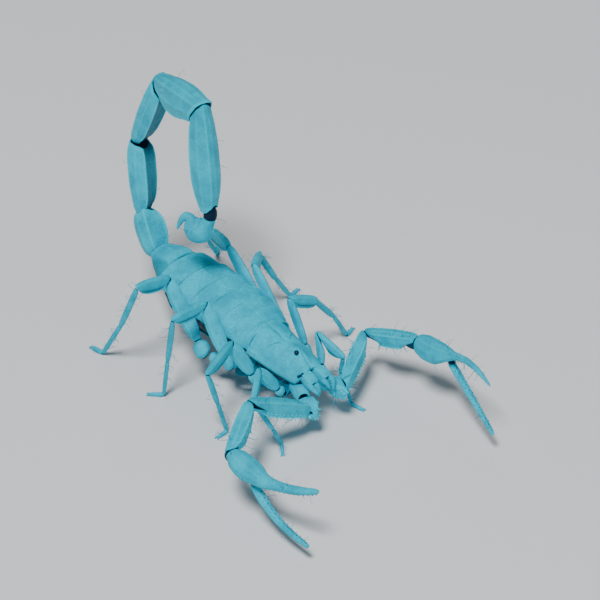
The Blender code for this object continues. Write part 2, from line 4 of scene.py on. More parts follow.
import bpy
import numpy as np
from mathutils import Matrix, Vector


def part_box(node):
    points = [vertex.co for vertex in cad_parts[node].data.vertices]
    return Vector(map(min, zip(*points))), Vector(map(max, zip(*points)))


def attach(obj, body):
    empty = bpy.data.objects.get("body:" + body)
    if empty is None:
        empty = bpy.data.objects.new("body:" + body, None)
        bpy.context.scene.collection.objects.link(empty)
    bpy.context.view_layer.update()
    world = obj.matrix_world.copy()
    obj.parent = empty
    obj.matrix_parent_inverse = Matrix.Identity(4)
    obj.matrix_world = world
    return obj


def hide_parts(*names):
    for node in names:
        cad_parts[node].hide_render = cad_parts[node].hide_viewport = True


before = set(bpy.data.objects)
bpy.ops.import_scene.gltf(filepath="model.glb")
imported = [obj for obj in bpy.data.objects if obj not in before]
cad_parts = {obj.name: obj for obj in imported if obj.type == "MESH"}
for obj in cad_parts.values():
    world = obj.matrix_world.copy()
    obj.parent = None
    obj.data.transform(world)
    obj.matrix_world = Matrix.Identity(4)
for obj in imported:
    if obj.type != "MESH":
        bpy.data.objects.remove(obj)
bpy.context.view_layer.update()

MM = 0.001
JOINT_GAP = 0.07
CARAPACE_FRONT = -0.90
CARAPACE_BACK = 3.86
CARAPACE_FRONT_HALF = 1.20
CARAPACE_BACK_HALF = 1.84
CARAPACE_NOTCH = 0.26
EYE_Y = 0.50
SIDE_EYES = ((1.03, -0.62), (0.93, -0.71), (0.80, -0.77))
LAST_BLOCK_HALF = 0.98
STERNITES = ((1.9, 1.75), (3.5, 1.85), (5.2, 1.85), (6.9, 1.8), (8.55, 2.0))
TERGITE_LENGTHS = (0.88, 1.10, 1.32, 1.52, 1.70, 1.92, 2.30)
MESOSOMA_START = 3.94
TAIL_BASE = (0.0, 15.0, 5.1)

# Tail: heading and pitch in degrees, length, half width and half height in mm
TAIL_POSE = (
    (180, 64, 3.0, 0.88, 0.84),
    (161, 81, 5.1, 0.90, 0.80),
    (182, 114, 5.8, 0.80, 0.72),
    (167, 169, 5.9, 0.90, 1.02),
    (205, 266, 7.4, 0.88, 0.86),
)
TELSON_HEADING = -160

# Walking legs: hip, then heading, pitch and length of femur, patella and tibia,
# then the ankle on the ground and the heading and length of the foot; mm and degrees
LEG_POSE = {
    "right_1": ((-1.72, 0.15, 2.55), (-106, 53, 2.71), (-49, -18, 2.4), (31, -56, 2.3),
                (-3.2, -1.5), (-36, 1.3)),
    "right_2": ((-2.2, 2.15, 2.62), (-122, 62, 3.46), (-68, -8, 3.2), (96, -72, 2.8),
                (-5.0, 1.85), (-80, 1.0)),
    "right_3": ((-2.65, 4.2, 2.7), (-177, 57, 4.5), (-83, 4, 3.0), (178, -79, 3.5),
                (-5.6, 7.6), (-136, 1.1)),
    "right_4": ((-2.85, 6.6, 2.5), (-178, 49, 5.5), (-77, 18, 3.4), (174, -62, 4.6),
                (-5.7, 13.9), (-174, 1.2)),
    "left_1": ((1.85, 0.35, 2.5), (150, 55, 2.24), (15, -26, 2.1), (152, -65, 1.8),
               (3.1, -1.1), (9, 1.1)),
    "left_2": ((2.25, 2.15, 2.6), (175, 55, 3.82), (93, -27, 2.7), (103, -49, 2.9),
               (8.0, 5.05), (114, 1.0)),
    "left_3": ((2.35, 4.1, 2.6), (178, 45, 5.54), (134, -23, 3.8), (94, -60, 2.9),
               (8.1, 11.0), (110, 1.1)),
    "left_4": ((2.85, 6.6, 2.5), (-176, 45, 5.8), (158, -18, 4.5), (144, -43, 3.6),
               (7.6, 18.2), (140, 1.2)),
}
LEG_SCALE = {"1": 0.84, "2": 0.92, "3": 1.0, "4": 1.06}
HIP_PLUMP = {"right_1": 1.0, "right_2": 1.0, "right_3": 1.05, "right_4": 1.35, "left_4": 1.2}
FEMUR_ROLL = {"right_3": 45, "right_4": 40, "left_1": 20}
ANKLE_HEIGHT = 0.17
LOW_BRISTLES = 0.9
BEAD_SUNK = 0.35

# Pedipalps: start of the femur, then heading, pitch and length of femur, patella, hand and fixed finger,
# then the start of the movable finger and its heading, pitch and length
PALP_POSE = {
    "right": ((-1.62, -2.10, 2.50), (-90.9, 27.3, 5.21), (-55.2, -8.4, 4.41), (0, -10, 3.1),
              (10.5, 17.1, 4.64), (-9.80, -6.72, 3.03), (-1.8, -16.7, 5.65)),
    "left": ((1.65, -1.95, 2.8), (122, 7, 5.0), (17, 14, 4.0), (3, 2, 3.0),
             (-7, 6.5, 4.5), (7.57, -5.69, 3.86), (-11.6, -23, 5.91)),
}

# Start and end of the pedipalp trochanters, in mm
TROCHANTERS = {
    "right": ((-1.15, -1.35, 2.50), (-1.50, -2.45, 2.25)),
    "left": ((1.15, -1.20, 2.65), (1.70, -2.10, 2.45)),
}

# Body frame of the CAD: the rear middle of the carapace is at x = 0, y = CARAPACE_BACK
_low, _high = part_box("carapace")
SHIFT = np.array(((_low.x + _high.x) / 2, _high.y - CARAPACE_BACK * MM, 0.0))
RNG = np.random.default_rng(7)


# Small geometry helpers

def unit(v):
    return v / np.linalg.norm(v)


def way(heading, pitch):
    """Direction of a heading (0 is forward, 90 is the animal's left) and a pitch, in degrees."""
    h = math.radians(heading)
    p = math.radians(pitch)
    return np.array((math.sin(h) * math.cos(p), -math.cos(h) * math.cos(p), math.sin(p)))


def over(heading, pitch):
    """Upper side of a limb with that heading and pitch."""
    h = math.radians(heading)
    p = math.radians(pitch)
    return np.array((-math.sin(h) * math.sin(p), math.cos(h) * math.sin(p), math.cos(p)))


def ramp(x, low, high):
    t = np.clip((np.asarray(x, float) - low) / (high - low), 0, 1)
    return t * t * (3 - 2 * t)


def bell(x, width):
    return np.exp(-(np.asarray(x, float) / width) ** 2)


def smooth_line(xs, ys, x):
    """Values at x on a smooth curve through the stations, with no overshoot between them."""
    xs = np.asarray(xs, float)
    ys = np.asarray(ys, float)
    if ys.ndim == 1:
        return smooth_line(xs, ys[:, None], x)[:, 0]
    gap = np.diff(xs)[:, None]
    rise = np.diff(ys, axis=0) / gap
    both = rise[:-1] * rise[1:]
    total = np.where(both > 0, rise[:-1] + rise[1:], 1.0)
    inner = np.where(both > 0, 2 * both / total, 0.0)
    slope = np.vstack((rise[:1], inner, rise[-1:]))
    x = np.asarray(x, float)
    i = np.clip(np.searchsorted(xs, x, side="right") - 1, 0, len(xs) - 2)
    t = ((x - xs[i]) / gap[i, 0])[:, None]
    a = (2 * t ** 3 - 3 * t ** 2 + 1) * ys[i]
    b = (t ** 3 - 2 * t ** 2 + t) * gap[i] * slope[i]
    c = (-2 * t ** 3 + 3 * t ** 2) * ys[i + 1]
    d = (t ** 3 - t ** 2) * gap[i] * slope[i + 1]
    return a + b + c + d


class Skin:
    """Closed shells of one piece, in mm, with the masks that its materials read."""

    def __init__(self, name, slot, *nodes):
        self.name = name
        self.slot = slot
        self.nodes = nodes
        self.points = []
        self.faces = []
        self.finish = []
        self.crest = []
        self.joint = []
        self.count = 0

    def add(self, points, faces, crest, joint, finish):
        """One closed shell; its faces are turned outwards by the sign of its volume."""
        points = np.asarray(points, float)
        away = points - points.mean(axis=0)
        corners = np.array([(f[0], f[1], f[2], f[-1]) for f in faces])
        a, b, c, d = (away[corners[:, k]] for k in range(4))
        volume = (a * np.cross(b, c)).sum() + (a * np.cross(c, d)).sum()
        for f in faces:
            row = [k + self.count for k in f]
            self.faces.append(row if volume > 0 else row[::-1])
            self.finish.append(finish)
        self.points.append(points)
        self.crest.append(np.broadcast_to(crest, len(points)))
        self.joint.append(np.broadcast_to(joint, len(points)))
        self.count += len(points)

    def add_tube(self, rings, crest=0.0, joint=0.0, finish=0):
        """Rings of one tube, shaped (rings, points, 3); each end closes on its middle."""
        m, n, _ = rings.shape
        crest = np.broadcast_to(crest, (m, n))
        joint = np.broadcast_to(joint, (m, n))
        points = np.vstack((rings.reshape(-1, 3), rings[0].mean(axis=0), rings[-1].mean(axis=0)))
        i = np.arange(m - 1)[:, None] * n
        j = np.arange(n)[None, :]
        k = (j + 1) % n
        quads = np.stack((i + j, i + k, i + n + k, i + n + j), axis=-1).reshape(-1, 4).tolist()
        fans = [(m * n, b, a) for a, b in zip(range(n), [*range(1, n), 0])]
        last = (m - 1) * n
        fans += [(m * n + 1, last + a, last + b) for a, b in zip(range(n), [*range(1, n), 0])]
        masks = [np.concatenate((v.reshape(-1), (v[0].mean(), v[-1].mean()))) for v in (crest, joint)]
        self.add(points, quads + fans, *masks, finish)

    def add_plate(self, top, under, crest=0.0, joint=0.0, finish=0):
        """A plate between two grids of the same layout, closed all round its edge."""
        m, n, _ = top.shape
        crest = np.broadcast_to(crest, (m, n)).reshape(-1)
        joint = np.broadcast_to(joint, (m, n)).reshape(-1)
        points = np.vstack((top.reshape(-1, 3), under.reshape(-1, 3)))
        i = np.arange(m - 1)[:, None] * n
        j = np.arange(n - 1)[None, :]
        quads = np.stack((i + j, i + j + 1, i + n + j + 1, i + n + j), axis=-1).reshape(-1, 4)
        faces = quads.tolist() + (quads[:, ::-1] + m * n).tolist()
        edge = [(0, k) for k in range(n)] + [(r, n - 1) for r in range(1, m)]
        edge += [(m - 1, k) for k in range(n - 2, -1, -1)] + [(r, 0) for r in range(m - 2, 0, -1)]
        rim = [r * n + k for r, k in edge]
        for a, b in zip(rim, rim[1:] + rim[:1]):
            faces.append((b, a, a + m * n, b + m * n))
        self.add(points, faces, np.tile(crest, 2), np.tile(joint, 2), finish)

    def build(self, *finishes):
        points = np.vstack(self.points) * MM + SHIFT
        mesh = bpy.data.meshes.new(self.name)
        mesh.from_pydata(points.tolist(), [], self.faces)
        for label, rows in (("crest", self.crest), ("joint", self.joint)):
            layer = mesh.attributes.new(label, "FLOAT", "POINT")
            layer.data.foreach_set("value", np.concatenate(rows).astype(np.float32))
        for item in finishes:
            mesh.materials.append(item)
        mesh.polygons.foreach_set("material_index", self.finish)
        mesh.polygons.foreach_set("use_smooth", [True] * len(self.faces))
        mesh.update()
        made = bpy.data.objects.new(self.name, mesh)
        bpy.context.scene.collection.objects.link(made)
        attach(made, "root")
        if self.nodes:
            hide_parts(*self.nodes)


# Sites of granules, spines and bristles, gathered while the sclerites are made

SITES = {}


def add_site(group, point, lean, size):
    """Keep one site; bristles close to the ground grow level, so that none reaches below it."""
    lean = np.array(lean, float)
    if group == "bristles" and point[2] < LOW_BRISTLES:
        lean[2] = abs(lean[2]) * 0.3
    SITES.setdefault(group, []).append((point, unit(lean), size))


def ring_normals(rings):
    along = np.gradient(rings, axis=0)
    round_ = np.roll(rings, -1, axis=1) - np.roll(rings, 1, axis=1)
    normal = np.cross(along, round_)
    length = np.linalg.norm(normal, axis=2, keepdims=True)
    normal = normal / np.maximum(length, 1e-9)
    middle = rings.mean(axis=1, keepdims=True)
    if ((rings - middle) * normal).sum() < 0:
        normal = -normal
    return normal


def scatter_bristles(rings, count, lean, low, high, size=1.0):
    """Bristles at random places of a tube between two shares of its rings."""
    m, n, _ = rings.shape
    normal = ring_normals(rings)
    for _ in range(count):
        i = int(RNG.integers(int(low * m), int(high * m)))
        j = int(RNG.integers(0, n))
        add_site("bristles", rings[i, j], normal[i, j] + lean, size * RNG.uniform(0.6, 1.25))


def bead_row(group, rings, f, angle, length, pitch, low, high, size):
    """Granules at an even pitch along one keel of a tube."""
    n = rings.shape[1]
    normal = ring_normals(rings)
    j = int(round((angle % 360) / 360 * n)) % n
    count = int((high - low) * length / pitch)
    for k in range(count + 1):
        at = low + (high - low) * k / max(1, count)
        i = int(np.argmin(np.abs(f - at)))
        swell = 0.75 + 0.25 * math.sin(math.pi * (k + 0.5) / (count + 1))
        grown = size * swell * RNG.uniform(0.85, 1.15)
        add_site(group, rings[i, j] - normal[i, j] * size * BEAD_SUNK, normal[i, j], grown)


# Tubes: sclerites between two joints, and sweeps along a curved path

def polygon_radius(theta, corners, round_off):
    """Outline with flat faces between corners given as (degrees from the top, radius), on both sides."""
    angles = []
    radii = []
    for a, r in corners:
        angles.append(math.radians(a))
        radii.append(r)
        if 0 < a < 180:
            angles.append(2 * math.pi - math.radians(a))
            radii.append(r)
    order = np.argsort(angles)
    angles = np.array(angles)[order]
    radii = np.array(radii)[order]
    x = radii * np.sin(angles)
    y = radii * np.cos(angles)
    out = np.zeros_like(theta)
    for k, t in enumerate(theta):
        a = int(np.searchsorted(angles, t, side="right") - 1) % len(angles)
        b = (a + 1) % len(angles)
        ex = x[b] - x[a]
        ey = y[b] - y[a]
        s = math.sin(t)
        c = math.cos(t)
        out[k] = (x[a] * ey - y[a] * ex) / (s * ey - c * ex)
    mean = np.sqrt((out ** 2).mean())
    return out * (1 - round_off) + mean * round_off


def keel_field(theta, f, length, corners, keels, round_off):
    """Radius of an outline and the mask of its crests, shaped (rings, points)."""
    base = polygon_radius(theta, corners, round_off) if corners else np.ones_like(theta)
    radius = np.tile(base, (len(f), 1))
    crest = np.zeros_like(radius)
    for angle, height, width, pitch, low, high in keels:
        for turned in sorted({angle % 360, (-angle) % 360}):
            away = np.abs((np.degrees(theta) - turned + 180) % 360 - 180)
            hump = bell(away, width)[None, :]
            fade = (ramp(f, low, low + 0.06) * (1 - ramp(f, high - 0.06, high)))[:, None]
            bead = 1.0
            if pitch:
                bead = 0.62 + 0.38 * np.abs(np.cos(math.pi * f * length / pitch))[:, None]
            radius += height * hump * fade * bead
            crest = np.maximum(crest, hump * fade * min(1.0, height * 9))
    return radius, crest


def sclerite(start, heading, pitch, length, stations, corners=(), keels=(), round_off=0.25, before=None,
             after=None, rings=60, sides=48, neck=0.14, socket=0.10, notch=0.0, notch_at=0, notch_width=42,
             root_notch=0.0, root_notch_at=0, roll=0, rim=0.0, collar=(0.93, 0.84), dark_neck=1.0,
             gap=JOINT_GAP):
    """One sclerite whose ends lie on the planes that halve the bends.

    Gives the rings with their neck and socket, their crest and joint masks, the rings of the body alone and
    the share of the length that each of those lies at.
    """
    origin = np.array(start, float)
    d = way(heading, pitch)
    level = over(heading, pitch)
    turned = math.radians(roll)
    up = level * math.cos(turned) + np.cross(d, level) * math.sin(turned)
    side = np.cross(d, up)
    first = d if before is None else unit(d + before)
    last = d if after is None else unit(d + after)
    table = np.array(stations, float)
    f = np.unique(np.concatenate((np.linspace(0, 1, rings), (0.006, 0.016, 0.985, 0.994))))
    across, rise, half_w, half_h = smooth_line(table[:, 0], table[:, 1:], f).T
    theta = 2 * math.pi * np.arange(sides) / sides
    radius, crest = keel_field(theta, f, length, corners, keels, round_off)
    x = np.sin(theta) * radius * half_w[:, None] + across[:, None]
    y = np.cos(theta) * radius * half_h[:, None] + rise[:, None]
    off = x[..., None] * side + y[..., None] * up
    s0 = (gap / 2 - off @ first) / (d @ first)
    s1 = (-gap / 2 - off @ last) / (d @ last)
    shift = (1 - f[:, None]) ** 2 * s0 + f[:, None] ** 2 * s1
    end = bell((np.degrees(theta) - notch_at + 180) % 360 - 180, notch_width)[None, :]
    start_side = bell((np.degrees(theta) - root_notch_at + 180) % 360 - 180, notch_width)[None, :]
    shift = shift - notch * end * ramp(f, 0.72, 1.0)[:, None]
    shift = shift + root_notch * start_side * (1 - ramp(f, 0.0, 0.28))[:, None]
    points = origin + off + (f[:, None] * length + shift)[..., None] * d
    crest = np.maximum(crest, rim * bell(f - 0.975, 0.03)[:, None])
    joint = np.zeros((len(f), sides))
    blocks = [points]
    crests = [crest]
    joints = [joint]
    middle = points[0].mean(axis=0)
    for size, step in ((0.96, 0.03), (0.86, 0.60), (0.60, 1.0), (0.20, 1.12)):
        blocks.insert(0, (middle + (points[0] - middle) * size - d * neck * step)[None])
        crests.insert(0, np.zeros((1, sides)))
        joints.insert(0, np.full((1, sides), dark_neck))
    middle = points[-1].mean(axis=0)
    for size, step in ((collar[0], -0.12), (collar[1], 0.35), (0.66, 0.85), (0.25, 1.0)):
        blocks.append((middle + (points[-1] - middle) * size - d * socket * step)[None])
        crests.append(np.zeros((1, sides)))
        joints.append(np.full((1, sides), 0.2 if step < 0 else 1.0))
    return np.vstack(blocks), np.vstack(crests), np.vstack(joints), points, f


def add_sclerite(skin, *place, **shape):
    """Adds one sclerite to a skin and gives the rings of its body and their shares."""
    rings, crest, joint, body, f = sclerite(*place, **shape)
    skin.add_tube(rings, crest, joint)
    return body, f


def sclerite_piece(name, slot, finish, *place, **shape):
    """Piece of a single sclerite, in place of the solid of that name."""
    skin = Skin(name + "_skin", slot, name)
    body, f = add_sclerite(skin, *place, **shape)
    skin.build(finish)
    return body, f


def scaled(rows, size):
    """Stations of a straight sclerite from (place along it, half width, half height) and a size."""
    return [(f, 0, 0, w * size, h * size) for f, w, h in rows]


def sweep(path, half_w, half_h, up, rings=60, sides=32, corners=(), keels=(), round_off=0.3):
    """Tube along a curved path of control points; up is the side that the outline's top faces."""
    path = np.asarray(path, float)
    steps = np.linalg.norm(np.diff(path, axis=0), axis=1)
    run = np.concatenate(((0.0,), np.cumsum(steps)))
    length = run[-1]
    share = run / length
    f = np.linspace(0, 1, rings)
    centre = smooth_line(share, path, f)
    wide = smooth_line(share, np.asarray(half_w, float), f)
    high = smooth_line(share, np.asarray(half_h, float), f)
    tangent = np.gradient(centre, axis=0)
    tangent /= np.linalg.norm(tangent, axis=1, keepdims=True)
    side = np.cross(tangent, np.asarray(up, float))
    side /= np.linalg.norm(side, axis=1, keepdims=True)
    top = np.cross(side, tangent)
    theta = 2 * math.pi * np.arange(sides) / sides
    radius, crest = keel_field(theta, f, length, corners, keels, round_off)
    x = np.sin(theta) * radius * wide[:, None]
    y = np.cos(theta) * radius * high[:, None]
    points = centre[:, None, :] + x[..., None] * side[:, None, :] + y[..., None] * top[:, None, :]
    return points, crest, f


# Finishes

def new_group(name, inputs, outputs):
    group = bpy.data.node_groups.new(name, "ShaderNodeTree")
    for label, kind, value in inputs:
        socket = group.interface.new_socket(name=label, in_out="INPUT", socket_type=kind)
        if value is not None:
            socket.default_value = value
    for label, kind in outputs:
        group.interface.new_socket(name=label, in_out="OUTPUT", socket_type=kind)
    enter = group.nodes.new("NodeGroupInput")
    leave = group.nodes.new("NodeGroupOutput")
    return group, enter, leave


def math_node(tree, operation, a, b, clamp=False):
    node = tree.nodes.new("ShaderNodeMath")
    node.operation = operation
    node.use_clamp = clamp
    for k, value in enumerate((a, b)):
        if isinstance(value, (int, float)):
            node.inputs[k].default_value = value
        else:
            tree.links.new(value, node.inputs[k])
    return node.outputs[0]


def remap(tree, value, low, high, to_low=0.0, to_high=1.0):
    node = tree.nodes.new("ShaderNodeMapRange")
    node.interpolation_type = "SMOOTHSTEP"
    tree.links.new(value, node.inputs["Value"])
    for label, number in (("From Min", low), ("From Max", high), ("To Min", to_low), ("To Max", to_high)):
        node.inputs[label].default_value = number
    return node.outputs["Result"]


def mix_colour(tree, factor, a, b):
    node = tree.nodes.new("ShaderNodeMix")
    node.data_type = "RGBA"
    for socket, value in ((node.inputs[0], factor), (node.inputs[6], a), (node.inputs[7], b)):
        if isinstance(value, (int, float, tuple)):
            socket.default_value = value
        else:
            tree.links.new(value, socket)
    return node.outputs[2]


def add_bump(tree, shader, height, distance, strength):
    dent = tree.nodes.new("ShaderNodeBump")
    dent.inputs["Distance"].default_value = distance
    dent.inputs["Strength"].default_value = strength
    tree.links.new(height, dent.inputs["Height"])
    tree.links.new(dent.outputs["Normal"], shader.inputs["Normal"])


def new_noise(tree, position, scale, detail):
    """Noise texture; its scale is a number or another node's socket."""
    noise = tree.nodes.new("ShaderNodeTexNoise")
    noise.inputs["Detail"].default_value = detail
    tree.links.new(position, noise.inputs["Vector"])
    if isinstance(scale, float):
        noise.inputs["Scale"].default_value = scale
    else:
        tree.links.new(scale, noise.inputs["Scale"])
    return noise


def shagreen_group():
    """Fine grain of the cuticle: small domed granules, raised in slow patches, over a fine noise grain."""
    group, enter, leave = new_group(
        "shagreen_grain",
        (("Position", "NodeSocketVector", None), ("Granule Density", "NodeSocketFloat", 9000.0),
         ("Granule Height", "NodeSocketFloat", 0.6), ("Fine Share", "NodeSocketFloat", 0.35)),
        (("Height", "NodeSocketFloat"), ("Granules", "NodeSocketFloat")))
    links = group.links
    cells = group.nodes.new("ShaderNodeTexVoronoi")
    cells.feature = "SMOOTH_F1"
    cells.inputs["Smoothness"].default_value = 0.35
    links.new(enter.outputs["Position"], cells.inputs["Vector"])
    links.new(enter.outputs["Granule Density"], cells.inputs["Scale"])
    dome = remap(group, cells.outputs["Distance"], 0.62, 0.10)
    fine_scale = math_node(group, "MULTIPLY", enter.outputs["Granule Density"], 2.6)
    fine = new_noise(group, enter.outputs["Position"], fine_scale, 3.0)
    slow_scale = math_node(group, "MULTIPLY", enter.outputs["Granule Density"], 0.11)
    slow = new_noise(group, enter.outputs["Position"], slow_scale, 2.0)
    raised = remap(group, slow.outputs["Fac"], 0.35, 0.62, 0.35, 1.0)
    granules = math_node(group, "MULTIPLY", dome, raised)
    height = math_node(group, "MULTIPLY", granules, enter.outputs["Granule Height"])
    grain = math_node(group, "MULTIPLY", fine.outputs["Fac"], enter.outputs["Fine Share"])
    height = math_node(group, "ADD", height, grain)
    links.new(height, leave.inputs["Height"])
    links.new(granules, leave.inputs["Granules"])
    return group


def glow_group():
    """Colour of the cuticle, also given to its painted glow: slow blotches, granules, pale crests, and dark
    joints together with painted shade.
    """
    group, enter, leave = new_group(
        "cuticle_glow",
        (("Position", "NodeSocketVector", None), ("Deep", "NodeSocketColor", (0, 0.3, 0.5, 1)),
         ("Bright", "NodeSocketColor", (0, 0.7, 0.9, 1)), ("Pale", "NodeSocketColor", (0.3, 0.9, 1, 1)),
         ("Dark", "NodeSocketColor", (0, 0.02, 0.05, 1)), ("Blotch Density", "NodeSocketFloat", 700.0),
         ("Granules", "NodeSocketFloat", 0.5), ("Crest", "NodeSocketFloat", 0.0),
         ("Joint", "NodeSocketFloat", 0.0), ("Pale Share", "NodeSocketFloat", 0.5)),
        (("Colour", "NodeSocketColor"), ("Blotch", "NodeSocketFloat")))
    blotch = new_noise(group, enter.outputs["Position"], enter.outputs["Blotch Density"], 4.0)
    blotch.inputs["Roughness"].default_value = 0.6
    cloud = remap(group, blotch.outputs["Fac"], 0.30, 0.66)
    grainy = math_node(group, "MULTIPLY", enter.outputs["Granules"], 0.45)
    level = math_node(group, "ADD", math_node(group, "MULTIPLY", cloud, 0.55), grainy, clamp=True)
    colour = mix_colour(group, level, enter.outputs["Deep"], enter.outputs["Bright"])
    lift = math_node(group, "MULTIPLY", enter.outputs["Crest"], enter.outputs["Pale Share"], clamp=True)
    colour = mix_colour(group, lift, colour, enter.outputs["Pale"])
    colour = mix_colour(group, enter.outputs["Joint"], colour, enter.outputs["Dark"])
    group.links.new(colour, leave.inputs["Colour"])
    group.links.new(cloud, leave.inputs["Blotch"])
    return group


GRAIN = shagreen_group()
GLOW = glow_group()

DEEP = (0.000, 0.315, 0.450, 1)
BRIGHT = (0.000, 0.560, 0.740, 1)
PALE = (0.000, 0.760, 0.900, 1)
# Dark of the joints, also the colour of the painted shade that shares their mask
DARK_JOINT_AND_SHADE = (0.000, 0.012, 0.035, 1)
BLOTCH_DENSITY = 700.0
GRAIN_STRENGTH = 0.55


def cuticle(name, deep=DEEP, bright=BRIGHT, density=9000.0, granule=0.6, fine=0.35, bump=0.00003,
            rough=(0.42, 0.60), painted_glow=0.16, pale_share=0.45, specular=0.10):
    """Cuticle with its own grain size, colours and gloss, and a painted glow from emission in its own colour.
    """
    made = bpy.data.materials.new(name)
    made.use_nodes = True
    tree = made.node_tree
    shader = tree.nodes["Principled BSDF"]
    place = tree.nodes.new("ShaderNodeTexCoord").outputs["Object"]
    crest = tree.nodes.new("ShaderNodeAttribute")
    crest.attribute_name = "crest"
    joint = tree.nodes.new("ShaderNodeAttribute")
    joint.attribute_name = "joint"
    grain = tree.nodes.new("ShaderNodeGroup")
    grain.node_tree = GRAIN
    tree.links.new(place, grain.inputs["Position"])
    grain.inputs["Granule Density"].default_value = density
    grain.inputs["Granule Height"].default_value = granule
    grain.inputs["Fine Share"].default_value = fine
    colour = tree.nodes.new("ShaderNodeGroup")
    colour.node_tree = GLOW
    tree.links.new(place, colour.inputs["Position"])
    tree.links.new(grain.outputs["Granules"], colour.inputs["Granules"])
    tree.links.new(crest.outputs["Fac"], colour.inputs["Crest"])
    tree.links.new(joint.outputs["Fac"], colour.inputs["Joint"])
    for label, value in (("Deep", deep), ("Bright", bright), ("Pale", PALE), ("Dark", DARK_JOINT_AND_SHADE),
                         ("Blotch Density", BLOTCH_DENSITY), ("Pale Share", pale_share)):
        colour.inputs[label].default_value = value
    tree.links.new(colour.outputs["Colour"], shader.inputs["Base Color"])
    # Emission in the cuticle's own colour: a painted glow that lifts the shaded sides
    tree.links.new(colour.outputs["Colour"], shader.inputs["Emission Color"])
    shader.inputs["Emission Strength"].default_value = painted_glow
    shader.inputs["Specular IOR Level"].default_value = specular
    gloss = remap(tree, grain.outputs["Granules"], 0.0, 1.0, rough[1], rough[0])
    tree.links.new(gloss, shader.inputs["Roughness"])
    add_bump(tree, shader, grain.outputs["Height"], bump, GRAIN_STRENGTH)
    return made


def plain_finish(name, low, high, density, rough, painted_glow=0.0, bump=0.00001, specular=0.4):
    """Finish of the small parts: two tones in fine noise, with a light bump and, where given, a painted glow.
    """
    made = bpy.data.materials.new(name)
    made.use_nodes = True
    tree = made.node_tree
    shader = tree.nodes["Principled BSDF"]
    place = tree.nodes.new("ShaderNodeTexCoord").outputs["Object"]
    noise = new_noise(tree, place, density, 3.0)
    tone = mix_colour(tree, remap(tree, noise.outputs["Fac"], 0.3, 0.7), low, high)
    tree.links.new(tone, shader.inputs["Base Color"])
    # Emission in the finish's own colour: a painted glow
    if painted_glow:
        tree.links.new(tone, shader.inputs["Emission Color"])
        shader.inputs["Emission Strength"].default_value = painted_glow
    gloss = remap(tree, noise.outputs["Fac"], 0.3, 0.7, rough * 0.85, rough * 1.15)
    tree.links.new(gloss, shader.inputs["Roughness"])
    shader.inputs["Specular IOR Level"].default_value = specular
    add_bump(tree, shader, noise.outputs["Fac"], bump, 0.4)
    return made


BODY = cuticle("back_cuticle", density=6500.0, granule=0.8, bump=0.00004)
TAIL = cuticle("tail_cuticle", density=8500.0, pale_share=0.6, specular=0.15, rough=(0.36, 0.52))
PALP = cuticle("pedipalp_cuticle", density=10000.0, granule=0.5)
LEG = cuticle("leg_cuticle", density=11000.0, granule=0.45, fine=0.4)
# Darker copy of the cuticle for the underside, the hips and the combs: painted shade
SHADED_BELLY = cuticle("shaded_belly_cuticle", deep=(0.0, 0.10, 0.18, 1), bright=(0.0, 0.20, 0.30, 1), density=7000.0,
                painted_glow=0.05)
MEMBRANE = plain_finish("joint_membrane", (0.0, 0.015, 0.04, 1), (0.0, 0.045, 0.09, 1), 5000.0, 0.6,
                        painted_glow=0.02, bump=0.00003, specular=0.2)
EYE = plain_finish("eye_lens", (0.001, 0.010, 0.040, 1), (0.002, 0.018, 0.060, 1), 3000.0, 0.32, specular=0.3)
GRANULE = plain_finish("granule_tip", (0.0, 0.50, 0.64, 1), (0.01, 0.70, 0.84, 1), 9000.0, 0.42,
                       painted_glow=0.16, specular=0.2)
BRISTLE = plain_finish("bristle", (0.0, 0.20, 0.30, 1), (0.0, 0.36, 0.48, 1), 6000.0, 0.42,
                       painted_glow=0.08, specular=0.2)
DENTICLE = plain_finish("finger_tooth", (0.002, 0.08, 0.15, 1), (0.006, 0.22, 0.34, 1), 9000.0, 0.3,
                        painted_glow=0.03)


# Carapace

SHIELD_LENGTH = CARAPACE_BACK - CARAPACE_FRONT
SHIELD_MIDDLE = 1.48


def shield_half(run):
    return CARAPACE_FRONT_HALF + (CARAPACE_BACK_HALF - CARAPACE_FRONT_HALF) * run ** 0.72


def shield_height(x, y, half, run):
    """Top of the shield; run goes from 0 at the front to 1 at the back."""
    edge = 3.52 + 0.50 * run
    crown = 4.22 + 1.24 * run ** 0.8
    across = np.minimum(1.0, np.abs(x) / half)
    z = edge + (crown - edge) * (1 - across ** 2.4)
    hill = bell(x, 0.30) * bell(y - EYE_Y, 0.62)
    furrow = bell(x, 0.13) * ramp(run, 0.50, 0.60) * (1 - 0.6 * ramp(run, 0.90, 0.98))
    brow = bell(np.abs(x) - 0.80, 0.24) * bell(y + 0.35, 0.5)
    front_furrow = bell(x, 0.10) * (1 - ramp(run, 0.12, 0.30))
    ridge = bell(np.abs(x) - 0.20, 0.07) * bell(y - EYE_Y, 0.55)
    groove = bell(np.abs(x) - (0.35 + 1.15 * ramp(run, 0.55, 0.80)), 0.07) * ramp(run, 0.54, 0.60)
    groove = groove * (1 - ramp(run, 0.76, 0.86))
    rim = ramp(across, 0.90, 0.95) * (1 - ramp(across, 0.97, 1.0))
    back_ridge = bell(run - 0.965, 0.018)
    z = z + 0.42 * hill - 0.08 * furrow + 0.12 * brow - 0.07 * front_furrow + 0.05 * ridge
    return z - 0.035 * groove + 0.045 * rim + 0.05 * back_ridge


